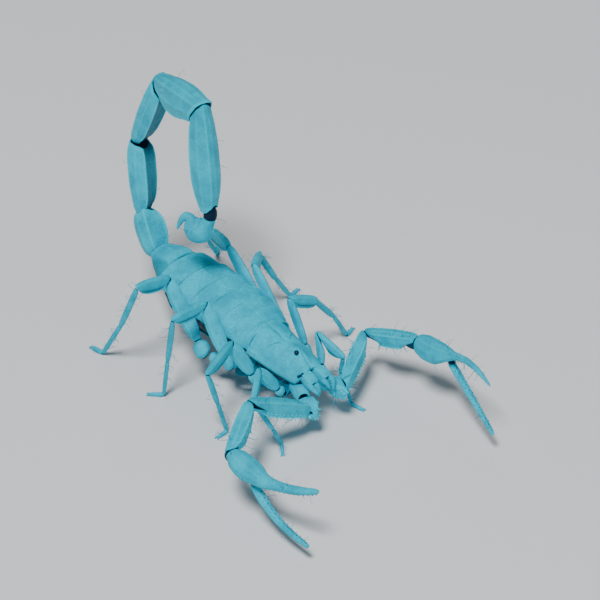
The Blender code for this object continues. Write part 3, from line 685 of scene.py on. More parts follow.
def build_carapace():
    skin = Skin("carapace_skin", "body_cuticle", "carapace")
    rows = 150
    columns = 141
    run = np.linspace(0, 1, rows)[:, None]
    c = np.sin(np.linspace(-1, 1, columns) * math.pi / 2 * 0.96) / math.sin(math.pi / 2 * 0.96)
    c = c[None, :]
    half = shield_half(run)
    x = c * half
    notch = CARAPACE_NOTCH * np.maximum(0, 1 - np.abs(x) / 0.5) * (1 - run) ** 3
    corner = 0.42 * np.abs(c) ** 5 * (1 - run) ** 4
    rear = 0.22 * np.abs(c) ** 3 * run ** 4
    y = CARAPACE_FRONT + SHIELD_LENGTH * run + notch + corner - rear
    z = shield_height(x, y, half, run)
    z = z + 0.05 * bell(run, 0.03) * (np.abs(c) < 0.9)
    top = np.stack((x, y, z), axis=-1)
    ends = np.maximum(1 - ramp(run, 0.0, 0.012), ramp(run, 0.99, 1.0))
    edge = np.maximum(ramp(np.abs(c), 0.965, 1.0), ends)
    top[..., 2] -= 0.07 * edge
    centre = np.array((0, 1.5))
    under = top.copy()
    under[..., :2] = centre + (under[..., :2] - centre) * 0.985
    under[..., 2] -= 0.20
    crest = 0.5 * bell(np.abs(x) - 0.20, 0.06) * bell(y - EYE_Y, 0.4)
    crest = np.maximum(crest, 0.6 * bell(x - 1.2, 0.42) * bell(y - 0.85, 0.16))
    crest = np.maximum(crest, 0.25 * ramp(np.abs(c), 0.93, 0.97))
    # Painted shade in the middle furrow and in short dashes along the side grooves, in the dark joint mask
    furrow = bell(x, 0.055) * ramp(run, 0.66, 0.70) * (1 - ramp(run, 0.80, 0.86))
    dash = bell(np.abs(x) - (0.35 + 1.15 * ramp(run, 0.55, 0.80)), 0.05) * bell(run - 0.63, 0.05)
    joint = np.clip(0.35 * furrow + 0.7 * dash, 0, 1)
    skin.add_plate(top, under, crest, joint)
    rim = []
    for t in np.linspace(0, 2 * math.pi, 72, endpoint=False):
        rim.append((math.sin(t), -math.cos(t)))
    rings = []
    for size, rise in ((0.60, 0.0), (0.90, 0.0), (0.955, 0.25), (0.95, 0.75), (0.85, 1.0), (0.50, 1.0)):
        ring = []
        for sx, sy in rim:
            run_at = (sy + 1) / 2
            lobe = math.copysign(abs(sx) ** 0.55, sx)
            spread = math.copysign(abs(sy) ** 0.6, sy)
            ring.append((lobe * shield_half(run_at) * size * 0.98,
                         SHIELD_MIDDLE + spread * SHIELD_LENGTH / 2 * size,
                         3.10 + 0.42 * rise + 0.35 * rise * run_at))
        rings.append(ring)
    skin.add_tube(np.array(rings), joint=0.0, finish=1)
    skin.build(BODY, MEMBRANE)


def build_eyes():
    """Two middle eyes on the hill and three small ones in a row at each front corner."""
    skin = Skin("eyes", "body_cuticle")
    spots = [(-0.29, EYE_Y - 0.06, 4.90, 0.17), (0.30, EYE_Y - 0.04, 4.62, 0.13)]
    for sign in (1, -1):
        for x, y in SIDE_EYES:
            run = (y - CARAPACE_FRONT) / SHIELD_LENGTH
            spots.append((x * sign, y, float(shield_height(x, y, shield_half(run), run)) + 0.01, 0.095))
    for x, y, z, radius in spots:
        rows = np.linspace(0.02, math.pi - 0.02, 15)
        turn = np.linspace(0, 2 * math.pi, 24, endpoint=False)
        ring = [[(x + radius * math.cos(a) * 0.9, y + radius * math.sin(a) * math.cos(t),
                  z + radius * math.sin(a) * math.sin(t)) for t in turn] for a in rows]
        skin.add_tube(np.array(ring))
    skin.build(EYE)


# Mesosoma

PLATE_ROWS = 46
PLATE_COLUMNS = 121
BELLY_COLUMNS = 49
FLANK_PLEATS = 22


def back_half(run):
    swell = 1.87 + 0.45 * np.sin(math.pi * np.minimum(1.0, run / 0.86)) ** 0.9
    taper = np.maximum(0.0, (run - 0.74) / 0.26)
    return swell - 1.02 * taper ** 1.25


def back_top(run):
    last = bell(run - 0.90, 0.07)
    front = 0.24 * (1 - ramp(run, -0.02, 0.10))
    arch = np.sin(math.pi * np.minimum(1.0, run * 0.62 + 0.08)) ** 1.2
    return 5.50 + 0.66 * arch - 0.12 * run + 0.10 * last - front


def belly_height(run):
    rear = np.maximum(0, (run - 0.70) / 0.30) ** 1.3
    front = np.maximum(0, 1 - run / 0.30) ** 0.5
    return 2.52 + 1.45 * rear + 0.46 * front


def build_mesosoma():
    skin = Skin("mesosoma_skin", "body_cuticle", "mesosoma")
    total = sum(TERGITE_LENGTHS)
    y = MESOSOMA_START
    last_plate = len(TERGITE_LENGTHS) - 1
    angles = np.linspace(0, math.pi, PLATE_COLUMNS)[None, :]
    for number, length in enumerate(TERGITE_LENGTHS):
        first = -0.45 if number == 0 else -0.16
        f = np.linspace(first, 1.0, PLATE_ROWS)[:, None]
        run = (y + f * length - MESOSOMA_START) / total
        run = np.clip(run, 0.0, 1.0)
        grow = -0.11 + 0.13 * ramp(f, -0.06, 0.12) + 0.09 * ramp(f, 0.2, 0.94) - 0.05 * ramp(f, 0.965, 1.0)
        tilt = 0.03 * bell(f - 0.93, 0.05)
        if number == last_plate:
            grow = grow + 0.16 * bell(f - 0.24, 0.20) - 0.10 * ramp(f, 0.55, 0.98)
        side = np.abs(np.cos(angles))
        half = back_half(run) + grow
        high = back_top(run) + grow + tilt
        edge = high - 0.58 * half - 0.08
        px = -np.cos(angles) * half
        keel = 0.035 * bell(px, 0.07) * ramp(f, 0.25, 0.6) * (1 - ramp(f, 0.90, 0.98))
        pz = edge + (high - edge) * np.sin(angles) ** 0.75 + keel
        pz = pz - 0.10 * ramp(side, 0.94, 1.0)
        shelf = 0.0
        if number == last_plate:
            shelf = ramp(np.abs(px), LAST_BLOCK_HALF, LAST_BLOCK_HALF + 0.16) * ramp(f, 0.0, 0.1)
            pz = pz - 0.30 * shelf
        scallop = 0.10 * ramp(side, 0.80, 1.0) * ramp(f, 0.7, 1.0)
        py = y + f * length + 0 * angles - 0.05 * bell(np.sin(angles), 0.25) * ramp(f, 0.8, 1.0) + scallop
        top = np.stack(np.broadcast_arrays(px, py, pz), axis=-1)
        under = top.copy()
        under[..., 0] *= 0.965
        under[..., 2] -= 0.10
        crest = np.broadcast_to(0.35 * bell(f - 0.955, 0.03), px.shape) + 10 * keel
        # Painted shadow on each plate just behind the rim of the plate in front, and painted shade on the
        # sloping shelf of the last plate; both go into the dark joint mask
        shade = np.broadcast_to(1 - ramp(f, 0.03, 0.11), px.shape) * (0.55 + 0.25 * np.cos(3.1 * px + number))
        shade = np.clip(shade if number else 0 * shade, 0, 1)
        shade = np.maximum(shade, 0.45 * shelf)
        skin.add_plate(top, under, 0.5 * np.clip(crest, 0, 1), shade)
        for k in range(6, PLATE_COLUMNS - 6, 4):
            at = top[PLATE_ROWS - 3, k]
            lean = np.array((-math.cos(angles[0, k]) * 0.6, 0.9, 0.7))
            add_site("back_granules", at - np.array((0, 0, 0.012)), lean, 0.024 * RNG.uniform(0.8, 1.3))
        y += length
    run = np.linspace(0.0, 1.0, 90)[:, None]
    t = np.linspace(0, 2 * math.pi, 96, endpoint=False)[None, :]
    pleat = 0.03 * np.sin(run * 2 * math.pi * FLANK_PLEATS) * ramp(np.abs(np.cos(t)), 0.5, 0.9)
    half = back_half(run) - 0.30 + pleat
    high = back_top(run) - 0.18
    low = belly_height(run)
    middle = high * 0.5 + low * 0.5
    px = np.cos(t) * half * (1 - 0.10 * ramp(-np.sin(t), 0.5, 1.0))
    rise = np.sign(np.sin(t)) * np.abs(np.sin(t)) ** 0.8
    pz = middle + rise * (high - low) / 2
    py = MESOSOMA_START + run * total + 0 * t
    rings = np.stack(np.broadcast_arrays(px, py, pz), axis=-1)
    skin.add_tube(rings, finish=1)
    for number, (start, length) in enumerate(STERNITES):
        f = np.linspace(0, 1, 24)[:, None]
        u = np.linspace(-1, 1, BELLY_COLUMNS)[None, :]
        run = np.clip((start + f * length) / total, 0, 1)
        half = (back_half(run) - 0.42) * 0.92
        dip = 0.05 * ramp(f, 0.1, 0.95)
        px = u * half
        pz = belly_height(run) - 0.03 - dip + 0.50 * np.abs(u) ** 3.2 + 0 * u
        py = MESOSOMA_START + start + f * length + 0 * u
        low_side = np.stack(np.broadcast_arrays(px, py, pz), axis=-1)
        top_side = low_side + np.array((0, 0, 0.10))
        slit = np.zeros(px.shape)
        if number < 4:
            slit = bell(np.abs(u) - 0.62, 0.10) * bell(f - 0.55, 0.055)
            low_side[..., 2] += 0.04 * slit
        skin.add_plate(low_side, top_side, 0.0, np.clip(slit * 1.2, 0, 1), finish=2)
    skin.build(BODY, MEMBRANE, SHADED_BELLY)


# Coxosternum

# Hip lobes: inner end, outer end and radius in mm, then the finish; finish 0 is the darker belly cuticle with
# its painted shade, 1 the back cuticle
HIP_LOBES = (
    ((0.55, 0.35, 2.80), (1.15, -1.28, 2.66), 0.57, 1),
    ((0.60, 0.50, 2.50), (1.58, 0.22, 2.48), 0.38, 0),
    ((0.60, 1.45, 2.42), (2.05, 2.10, 2.52), 0.38, 0),
    ((0.60, 2.55, 2.34), (2.46, 4.05, 2.56), 0.37, 0),
    ((0.55, 3.35, 2.30), (2.66, 6.40, 2.48), 0.42, 1),
)


def heading_of(d):
    return math.degrees(math.atan2(d[0], -d[1])), math.degrees(math.asin(d[2] / np.linalg.norm(d)))


def build_coxosternum():
    skin = Skin("coxosternum_skin", "body_cuticle", "coxosternum")
    stations = np.array(((-0.10, 0.70, 2.30, 2.95), (0.60, 0.95, 2.14, 3.10), (1.60, 1.20, 2.06, 3.12),
                         (2.70, 1.35, 1.98, 3.12), (3.60, 1.20, 1.92, 3.02), (3.85, 0.90, 1.96, 2.90)))
    y = np.linspace(-0.10, 3.85, 60)
    half, low, high = smooth_line(stations[:, 0], stations[:, 1:], y).T
    t = np.linspace(0, 2 * math.pi, 64, endpoint=False)[None, :]
    px = np.sign(np.cos(t)) * np.abs(np.cos(t)) ** 0.7 * half[:, None]
    rise = np.sign(np.sin(t)) * np.abs(np.sin(t)) ** 0.8
    pz = ((low + high) / 2)[:, None] + rise * ((high - low) / 2)[:, None]
    rings = np.stack(np.broadcast_arrays(px, y[:, None], pz), axis=-1)
    groove = bell(px, 0.05) * (np.sin(t) < 0)
    skin.add_tube(rings, joint=0.8 * groove)
    for sign in (1, -1):
        for inner, outer, radius, finish in HIP_LOBES:
            start = np.array((inner[0] * sign, inner[1], inner[2]))
            end = np.array((outer[0] * sign, outer[1], outer[2]))
            run = end - start
            stations = ((0.0, 0, 0, radius * 0.7, radius * 0.7), (0.30, 0, 0, radius, radius),
                        (0.70, 0, 0, radius * 0.98, radius), (0.94, 0, 0, radius * 0.88, radius * 0.9),
                        (1.0, 0, 0, radius * 0.66, radius * 0.66))
            rings, crest, joint, body, _ = sclerite(
                start, *heading_of(run), np.linalg.norm(run), stations,
                corners=((30, 1.0), (90, 1.04), (150, 1.0)), round_off=0.5,
                keels=((60, 0.06, 7, 0.2, 0.1, 0.95), (150, 0.06, 8, 0.2, 0.1, 0.95)), rings=50, sides=40)
            skin.add_tube(rings, crest, joint, finish=finish)
            scatter_bristles(body, 5, unit(run) * 0.5, 0.4, 0.95, 0.8)
    skin.build(SHADED_BELLY, BODY)


# Chelicerae

def build_chelicera(label, sign):
    skin = Skin("chelicera_" + label + "_skin", "body_cuticle", "chelicera_" + label)
    start = np.array((0.50 * sign, -0.52, 3.84))
    heading, pitch = 4 * sign, -18
    d = way(heading, pitch)
    up = over(heading, pitch)
    side = np.cross(d, up)
    stations = ((0.0, 0, 0, 0.40, 0.34), (0.08, 0, 0.02, 0.47, 0.43), (0.45, 0, 0.03, 0.505, 0.48),
                (0.85, 0, 0.02, 0.49, 0.47), (0.96, 0, 0.01, 0.44, 0.42), (1.0, 0, 0.0, 0.36, 0.36))
    body, _ = add_sclerite(
        skin, start, heading, pitch, 1.14, stations, corners=((42, 1.10), (138, 1.10)), round_off=0.45,
        keels=((42, 0.05, 8, 0, 0.1, 0.95),), rings=44, sides=48, rim=0.7, socket=0.06)
    knuckle = start + d * 1.10
    inner = -side if np.dot(side, (sign, 0, 0)) > 0 else side
    for out, low, length in ((0.26, 0.06, 0.86), (-0.22, -0.04, 0.70)):
        root = knuckle - inner * out + up * low - d * 0.14
        bend = inner * (0.30 if out > 0 else -0.05)
        path = [root + d * length * along + up * lift + bend * turn for along, lift, turn in
                ((0.0, 0.0, 0.0), (0.35, 0.03, 0.0), (0.68, -0.05, 0.35), (0.92, -0.20, 0.8),
                 (1.0, -0.34, 1.1))]
        points, ridge, _ = sweep(path, (0.19, 0.20, 0.15, 0.10, 0.03), (0.20, 0.19, 0.14, 0.09, 0.03), up,
                                    rings=30, sides=20)
        skin.add_tube(points, ridge)
        for k in range(3):
            at = points[10 + 5 * k, 5 if out > 0 else 15]
            add_site("small_teeth", at, inner * (1 if out > 0 else -1) - d * 0.2, 0.09 - 0.02 * k)
    scatter_bristles(body, 10, d * 0.8, 0.5, 0.95, 0.7)
    skin.build(BODY)


# Pectines

COMB_TEETH = 17


def build_pecten(label, sign):
    skin = Skin("pecten_" + label + "_skin", "body_cuticle", "pecten_" + label)
    along = unit(np.array((0.80 * sign, 0.60, -0.02)))
    back = unit(np.array((-0.60 * sign, 0.80, -0.12)))
    root = np.array((0.42 * sign, 4.55, 2.02))
    normal = np.cross(along, back)
    reach = 2.4
    for depth, radius, low, high in ((0.07, 0.10, 0.0, 1.0), (0.22, 0.085, 0.03, 0.98)):
        path = [root + along * reach * s + back * (depth + 0.05 * math.sin(math.pi * s)) for s in
                np.linspace(low, high, 6)]
        points, crest, _ = sweep(path, (radius * 0.6, radius, radius, radius, radius * 0.9, radius * 0.4),
                                    (0.05, 0.08, 0.08, 0.08, 0.07, 0.03), normal, rings=60, sides=20,
                                    keels=((0, 0.10, 30, 0.3, 0.0, 1.0),))
        skin.add_tube(points, crest)
    for k in range(COMB_TEETH):
        a = root + along * (0.06 + (reach - 0.16) * k / (COMB_TEETH - 1)) + back * 0.24
        path = [a + back * s for s in (0, 0.12, 0.26, 0.37, 0.40)]
        points, crest, _ = sweep(path, (0.03, 0.05, 0.062, 0.05, 0.012), (0.03, 0.05, 0.055, 0.045, 0.012),
                                    normal, rings=14, sides=12)
        skin.add_tube(points, crest)
    skin.build(SHADED_BELLY)


# Tail

TAIL_CORNERS = ((0, 0.78), (41, 1.17), (88, 1.02), (136, 1.14), (163, 1.05), (180, 0.98))
TAIL_KEELS = ((41, 0.07, 5.0, 0.26, 0.05, 0.99), (88, 0.03, 5.0, 0.26, 0.05, 0.97),
              (136, 0.045, 5.0, 0.30, 0.05, 0.99), (163, 0.025, 4.5, 0.30, 0.08, 0.97))

# Outline of each segment as shares of its half width: place along it and size
TAIL_SHAPES = (
    ((0.00, 0.60), (0.05, 0.74), (0.16, 0.91), (0.35, 1.03), (0.58, 1.07), (0.78, 1.02), (0.90, 0.90),
     (0.965, 0.80), (1.00, 0.68)),
    ((0.00, 0.55), (0.04, 0.64), (0.12, 0.78), (0.25, 0.90), (0.50, 1.00), (0.75, 1.0), (0.90, 0.92),
     (0.97, 0.82), (1.00, 0.74)),
    ((0.00, 0.56), (0.04, 0.66), (0.12, 0.80), (0.28, 0.94), (0.55, 1.03), (0.80, 1.0), (0.93, 0.93),
     (0.98, 0.88), (1.00, 0.82)),
    ((0.00, 0.60), (0.06, 0.72), (0.18, 0.88), (0.34, 1.02), (0.55, 1.08), (0.75, 1.0), (0.88, 0.89),
     (0.94, 0.87), (0.985, 0.89), (1.00, 0.85)),
    ((0.00, 0.70), (0.02, 0.76), (0.08, 0.81), (0.20, 0.90), (0.42, 1.0), (0.62, 1.0), (0.80, 0.88),
     (0.92, 0.72), (1.00, 0.62)),
)

# Turn of each segment about its own length; depth of its end notch and the side it is cut from, in mm and
# degrees from the top; share of the next segment's direction in the plane of each joint; painted shade on its
# inner side, darker towards both ends
TAIL_ROLL = (0, 42, 6, 0, 0)
TAIL_NOTCH = ((-0.40, 328), (0.34, 0), (0.10, 0), (0.05, 180), (0.80, 196))
TAIL_LEAN = (0.5, 0.5, 0.74, 0.47, 0.5)
TAIL_INNER_PAINTED_SHADE = (0.0, 0.55, 0.62, 0.25, 0.0)
TELSON_START = (-160, -55)
TAIL_SIDES = 112


def build_tail():
    joint_at = np.array(TAIL_BASE)
    ways = [way(h, p) for h, p, *_ in TAIL_POSE]
    last_plane = unit(way(180, 20) + ways[0])
    for number, (heading, pitch, length, half_w, half_h) in enumerate(TAIL_POSE, start=1):
        stations = []
        for f, s in TAIL_SHAPES[number - 1]:
            outer = -0.16 * half_h * (1 - float(ramp(f, 0.0, 0.22))) if 1 < number < 5 else 0.0
            stations.append((f, 0, outer, half_w * s, half_h * s))
        own = ways[number - 1]
        following = ways[number] if number < 5 else way(*TELSON_START)
        plane = unit(own * (1 - TAIL_LEAN[number - 1]) + following * TAIL_LEAN[number - 1])
        notch, notch_at = TAIL_NOTCH[number - 1]
        name = "tail_segment_" + str(number)
        rings, crest, joint, body, f = sclerite(
            joint_at, heading, pitch, length, stations, TAIL_CORNERS, TAIL_KEELS, 0.20, 2 * last_plane - own,
            2 * plane - own, rings=int(40 + 18 * length), sides=TAIL_SIDES, neck=0.22, socket=0.22,
            notch=notch, notch_at=notch_at, notch_width=58 if number == 5 else 42,
            root_notch=0.10 if number in (2, 3) else 0.0, roll=TAIL_ROLL[number - 1], gap=0.05,
            collar=(0.95, 0.88), dark_neck=0.25 if number in (4, 5) else 1.0,
            rim=0.8 if number == 4 else 0.2)
        last_plane = plane
        # Painted shade on the inner faces of the middle segments, stronger near both ends, put into the dark
        # joint mask
        around = (np.arange(TAIL_SIDES) / TAIL_SIDES * 360 + 180) % 360 - 180
        share = np.arange(len(rings)) / len(rings)
        ends = 1.0 + 0.6 * bell(share - 0.02, 0.14) + 0.6 * bell(share - 0.98, 0.14)
        inner = TAIL_INNER_PAINTED_SHADE[number - 1] * (1 - ramp(np.abs(around), 34, 43))[None, :] * ends[:, None]
        skin = Skin(name + "_skin", "tail_cuticle", name)
        skin.add_tube(rings, crest, np.clip(np.maximum(joint, inner), 0, 1))
        skin.build(TAIL)
        for angle, size in ((41, 0.036), (136, 0.030), (88, 0.022)):
            for turned in (angle, -angle):
                bead_row("tail_granules", body, f, turned, length, 0.27, 0.08, 0.96, size)
        scatter_bristles(body, 9, own * 0.35, 0.1, 0.9, 0.8)
        joint_at = joint_at + own * length
    return joint_at


# Vesicle and sting: reach along the heading, height and radius in mm, from the end of the tail
TELSON_PATH = (
    (-0.10, 0.35, 0.30), (-0.10, 0.02, 0.42), (-0.06, -0.28, 0.45), (0.00, -0.55, 0.42), (0.10, -0.85, 0.43),
    (0.26, -1.18, 0.56), (0.44, -1.48, 0.71), (0.66, -1.68, 0.82), (0.90, -1.74, 0.85), (1.13, -1.62, 0.77),
    (1.30, -1.38, 0.61), (1.42, -1.12, 0.44), (1.54, -0.95, 0.33), (1.72, -0.91, 0.28), (1.93, -1.05, 0.25),
    (2.13, -1.34, 0.21), (2.29, -1.68, 0.16), (2.41, -2.00, 0.10), (2.46, -2.20, 0.02),
)


def build_telson(joint_at):
    skin = Skin("telson_skin", "tail_cuticle", "telson")
    flat = way(TELSON_HEADING, 0)
    side = np.cross(flat, (0, 0, 1))
    path = [joint_at + flat * a + np.array((0, 0, z)) for a, z, _ in TELSON_PATH]
    radius = np.array([r for _, _, r in TELSON_PATH])
    points, crest, f = sweep(path, radius, radius * 0.98, side, rings=170, sides=64,
                                     keels=((0, 0.02, 7, 0, 0.1, 0.6), (90, 0.025, 6, 0.2, 0.1, 0.6),
                                            (0, 0.02, 7, 0, 0.1, 0.6)))
    joint = np.zeros(crest.shape)
    joint[f < 0.15] = 1.0
    skin.add_tube(points, crest, joint)
    skin.build(TAIL)
    scatter_bristles(points, 18, flat * 0.3, 0.15, 0.58, 0.9)
    for share, tall in ((0.20, 0.10), (0.26, 0.12), (0.31, 0.08)):
        ring = points[int(share * len(points))]
        at = ring[int(np.argmin(ring @ flat))]
        add_site("small_teeth", at, -flat + np.array((0, 0, 0.1)), tall)


# Walking legs

LEG_CORNERS = ((0, 1.0), (52, 1.02), (118, 1.05), (165, 1.05), (180, 0.98))
PATELLA_CORNERS = ((0, 1.0), (45, 1.02), (95, 1.02), (124, 0.84), (146, 1.10), (180, 1.06))


# Place along the sclerite, half width and half height, before the scale of the leg
LEG_STATIONS = {
    "femur": ((0.0, 0.18, 0.26), (0.06, 0.22, 0.34), (0.30, 0.25, 0.47), (0.65, 0.26, 0.50),
              (0.92, 0.24, 0.40), (1.0, 0.18, 0.27)),
    "patella": ((0.00, 0.18, 0.23), (0.07, 0.25, 0.34), (0.30, 0.29, 0.51), (0.62, 0.28, 0.52),
                (0.92, 0.23, 0.39), (1.00, 0.17, 0.26)),
    "tibia": ((0.00, 0.13, 0.16), (0.07, 0.17, 0.21), (0.40, 0.18, 0.24), (0.90, 0.16, 0.21),
              (1.00, 0.13, 0.16)),
    "basitarsus": ((0.00, 0.10, 0.12), (0.08, 0.135, 0.165), (0.60, 0.135, 0.165), (0.92, 0.12, 0.15),
                   (1.00, 0.10, 0.12)),
}
TROCHANTER_ENDS = ((0.0, 0.25, 0.26), (1.0, 0.24, 0.28))
TROCHANTER_BALL = ((0.25, 0.37, 0.40), (0.65, 0.38, 0.41))
TROCHANTER_SHARE = 0.21
LEG_BEAD = 0.024
PATELLA_SIDES = 48


def patella_groove(rows):
    """Painted shade in the groove along both lower edges of a patella, in the dark joint mask."""
    around = np.arange(PATELLA_SIDES) / PATELLA_SIDES * 360
    groove = np.maximum(bell(around - 124, 7), bell(around - 236, 7))
    along = np.arange(rows) / rows
    fade = ramp(along, 0.14, 0.24) * (1 - ramp(along, 0.80, 0.9))
    return 0.8 * groove[None, :] * fade[:, None]


def build_leg(label):
    side, number = label.split("_")
    hip, femur, patella, tibia, ankle, foot = LEG_POSE[label]
    size = LEG_SCALE[number]
    prefix = "leg_" + number + "_" + side + "_"
    ways = [way(*limb[:2]) for limb in (femur, patella, tibia)]
    hip = np.array(hip)
    knee = hip + ways[0] * femur[2]
    shin_top = knee + ways[1] * patella[2]
    tibia_end = shin_top + ways[2] * tibia[2]
    ankle_at = np.array((ankle[0], ankle[1], ANKLE_HEIGHT))
    shin = ankle_at - tibia_end
    build_femur(prefix, label, hip, femur, way(90 if side == "left" else -90, 10), ways, size)
    skin = Skin(prefix + "patella_skin", "leg_cuticle", prefix + "patella")
    rings, crest, joint, body, f = sclerite(
        knee, *patella, scaled(LEG_STATIONS["patella"], size), PATELLA_CORNERS,
        ((146, 0.05, 6, 0.15, 0.05, 0.95), (45, 0.03, 9, 0, 0.05, 0.95)), 0.18, ways[0], ways[2],
        rings=int(30 + 10 * patella[2]), sides=PATELLA_SIDES, neck=0.09, socket=0.07)
    skin.add_tube(rings, crest, np.maximum(joint, patella_groove(len(rings))))
    skin.build(LEG)
    for angle in (146, 214):
        bead_row("leg_granules", body, f, angle, patella[2], 0.16, 0.06, 0.94, LEG_BEAD * size)
    scatter_bristles(body, 10, ways[1] * 0.5, 0.1, 0.95, 0.8)
    body, _ = sclerite_piece(
        prefix + "tibia", "leg_cuticle", LEG, shin_top, *tibia, scaled(LEG_STATIONS["tibia"], size),
        LEG_CORNERS, ((165, 0.04, 8, 0, 0.05, 0.95),), 0.5, ways[1], unit(shin),
        rings=int(24 + 8 * tibia[2]), sides=32, neck=0.07, socket=0.05)
    scatter_bristles(body, 16, ways[2] * 0.6, 0.08, 0.95, 0.9)
    build_foot(prefix, tibia_end, shin, foot, ankle_at, ways[2], size)


def build_femur(prefix, label, hip, femur, outward, ways, size):
    """Round trochanter at the hip and the flat femur that goes on from it."""
    skin = Skin(prefix + "femur_skin", "leg_cuticle", prefix + "femur")
    ball = scaled(TROCHANTER_BALL, size * HIP_PLUMP.get(label, 0.85))
    root_end, tip_end = scaled(TROCHANTER_ENDS, size)
    add_sclerite(skin, hip, *femur[:2], femur[2] * TROCHANTER_SHARE, [root_end, *ball, tip_end], LEG_CORNERS,
                 ((140, 0.05, 8, 0.12, 0.1, 0.9),), 0.4, unit(outward + ways[0]), None,
                 rings=26, sides=36, neck=0.10, socket=0.05)
    root = hip + ways[0] * femur[2] * TROCHANTER_SHARE
    length = femur[2] * (1 - TROCHANTER_SHARE)
    body, f = add_sclerite(
        skin, root, *femur[:2], length, scaled(LEG_STATIONS["femur"], size), LEG_CORNERS,
        ((118, 0.05, 7, 0.16, 0.05, 0.95), (165, 0.07, 7, 0.16, 0.05, 0.95), (0, 0.03, 12, 0, 0.1, 0.9)),
        0.35, None, ways[1], rings=int(30 + 10 * length), sides=44, neck=0.08, socket=0.07,
        roll=FEMUR_ROLL.get(label, 0))
    skin.build(LEG)
    for angle in (165, 195, 118, 242):
        bead_row("leg_granules", body, f, angle, length, 0.17, 0.06, 0.94, LEG_BEAD * size)
    scatter_bristles(body, 9, ways[0] * 0.5, 0.1, 0.95, 0.8)


def build_foot(prefix, start, shin, foot, ankle_at, before, size):
    """Basitarsus, tarsus and the two claws of one leg."""
    skin = Skin(prefix + "tarsus_skin", "leg_cuticle", prefix + "tarsus")
    heading, length = foot
    toe = way(heading, 0)
    up = np.array((0, 0, 1.0))
    shin_length = np.linalg.norm(shin)
    body, _ = add_sclerite(
        skin, start, *heading_of(shin), shin_length - 0.06, scaled(LEG_STATIONS["basitarsus"], size), (),
        ((165, 0.05, 10, 0, 0.05, 0.95),), 0.5, before, None,
        rings=int(24 + 8 * shin_length), sides=28, neck=0.06, socket=0.03)
    scatter_bristles(body, 18, unit(shin) * 0.7, 0.08, 0.92, 0.85)
    ground = np.array((ankle_at[0], ankle_at[1], 0.0))
    high = 0.135 * size
    path = [ankle_at + up * 0.03 - toe * 0.05]
    for lift, reach in ((high + 0.03, 0.10), (high, 0.34 * length), (high * 0.92, 0.70 * length),
                        (high * 0.85, 0.86 * length)):
        path.append(ground + up * lift + toe * reach)
    wide = np.array((0.12, 0.145, 0.14, 0.12, 0.06)) * size
    points, ridge, f = sweep(path, wide, wide * 1.02, up, rings=34, sides=26)
    points[..., 2] = np.maximum(points[..., 2], 0.0)
    shade = np.zeros(ridge.shape)
    shade[f < 0.05] = 0.8
    skin.add_tube(points, ridge, shade)
    for ring in points[5:30:4]:
        for at in (ring[9], ring[17]):
            add_site("bristles", at, toe * 0.5 - up * 0.15 + (at - ring.mean(axis=0)) * 3, 0.55)
    side = np.cross(toe, up)
    tip = ground + up * (high * 0.9) + toe * 0.82 * length
    thin = (0.055, 0.055, 0.045, 0.030, 0.008)
    for out in (side, -side):
        path = [tip]
        for reach, apart, lift in ((0.08, 0.05, 0.03), (0.15, 0.09, 0.02), (0.20, 0.12, -0.04),
                                   (0.21, 0.13, -high * 0.85)):
            path.append(tip + toe * reach + out * apart + up * lift)
        points, ridge, _ = sweep(path, thin, thin, side, rings=18, sides=12)
        skin.add_tube(points, ridge)
    skin.build(LEG)


# Pedipalps

PALP_CORNERS = ((0, 0.90), (46, 1.16), (90, 0.98), (134, 1.16), (180, 0.90))
PALP_KEELS = ((46, 0.08, 6, 0.34, 0.04, 0.97), (134, 0.10, 6, 0.34, 0.04, 0.97))


PALP_ROOT_STATIONS = ((0.0, 0.44, 0.48), (0.14, 0.61, 0.65), (0.48, 0.69, 0.76), (0.76, 0.65, 0.72),
                      (0.90, 0.52, 0.58), (0.97, 0.32, 0.36), (1.0, 0.12, 0.14))

# Side of the dark elbow, depth of the femur's end notch, depth and side of the patella's
PALP_NOTCHES = {"right": (218, 1.30, 0.50, 258), "left": (140, 1.0, 0.95, 160)}


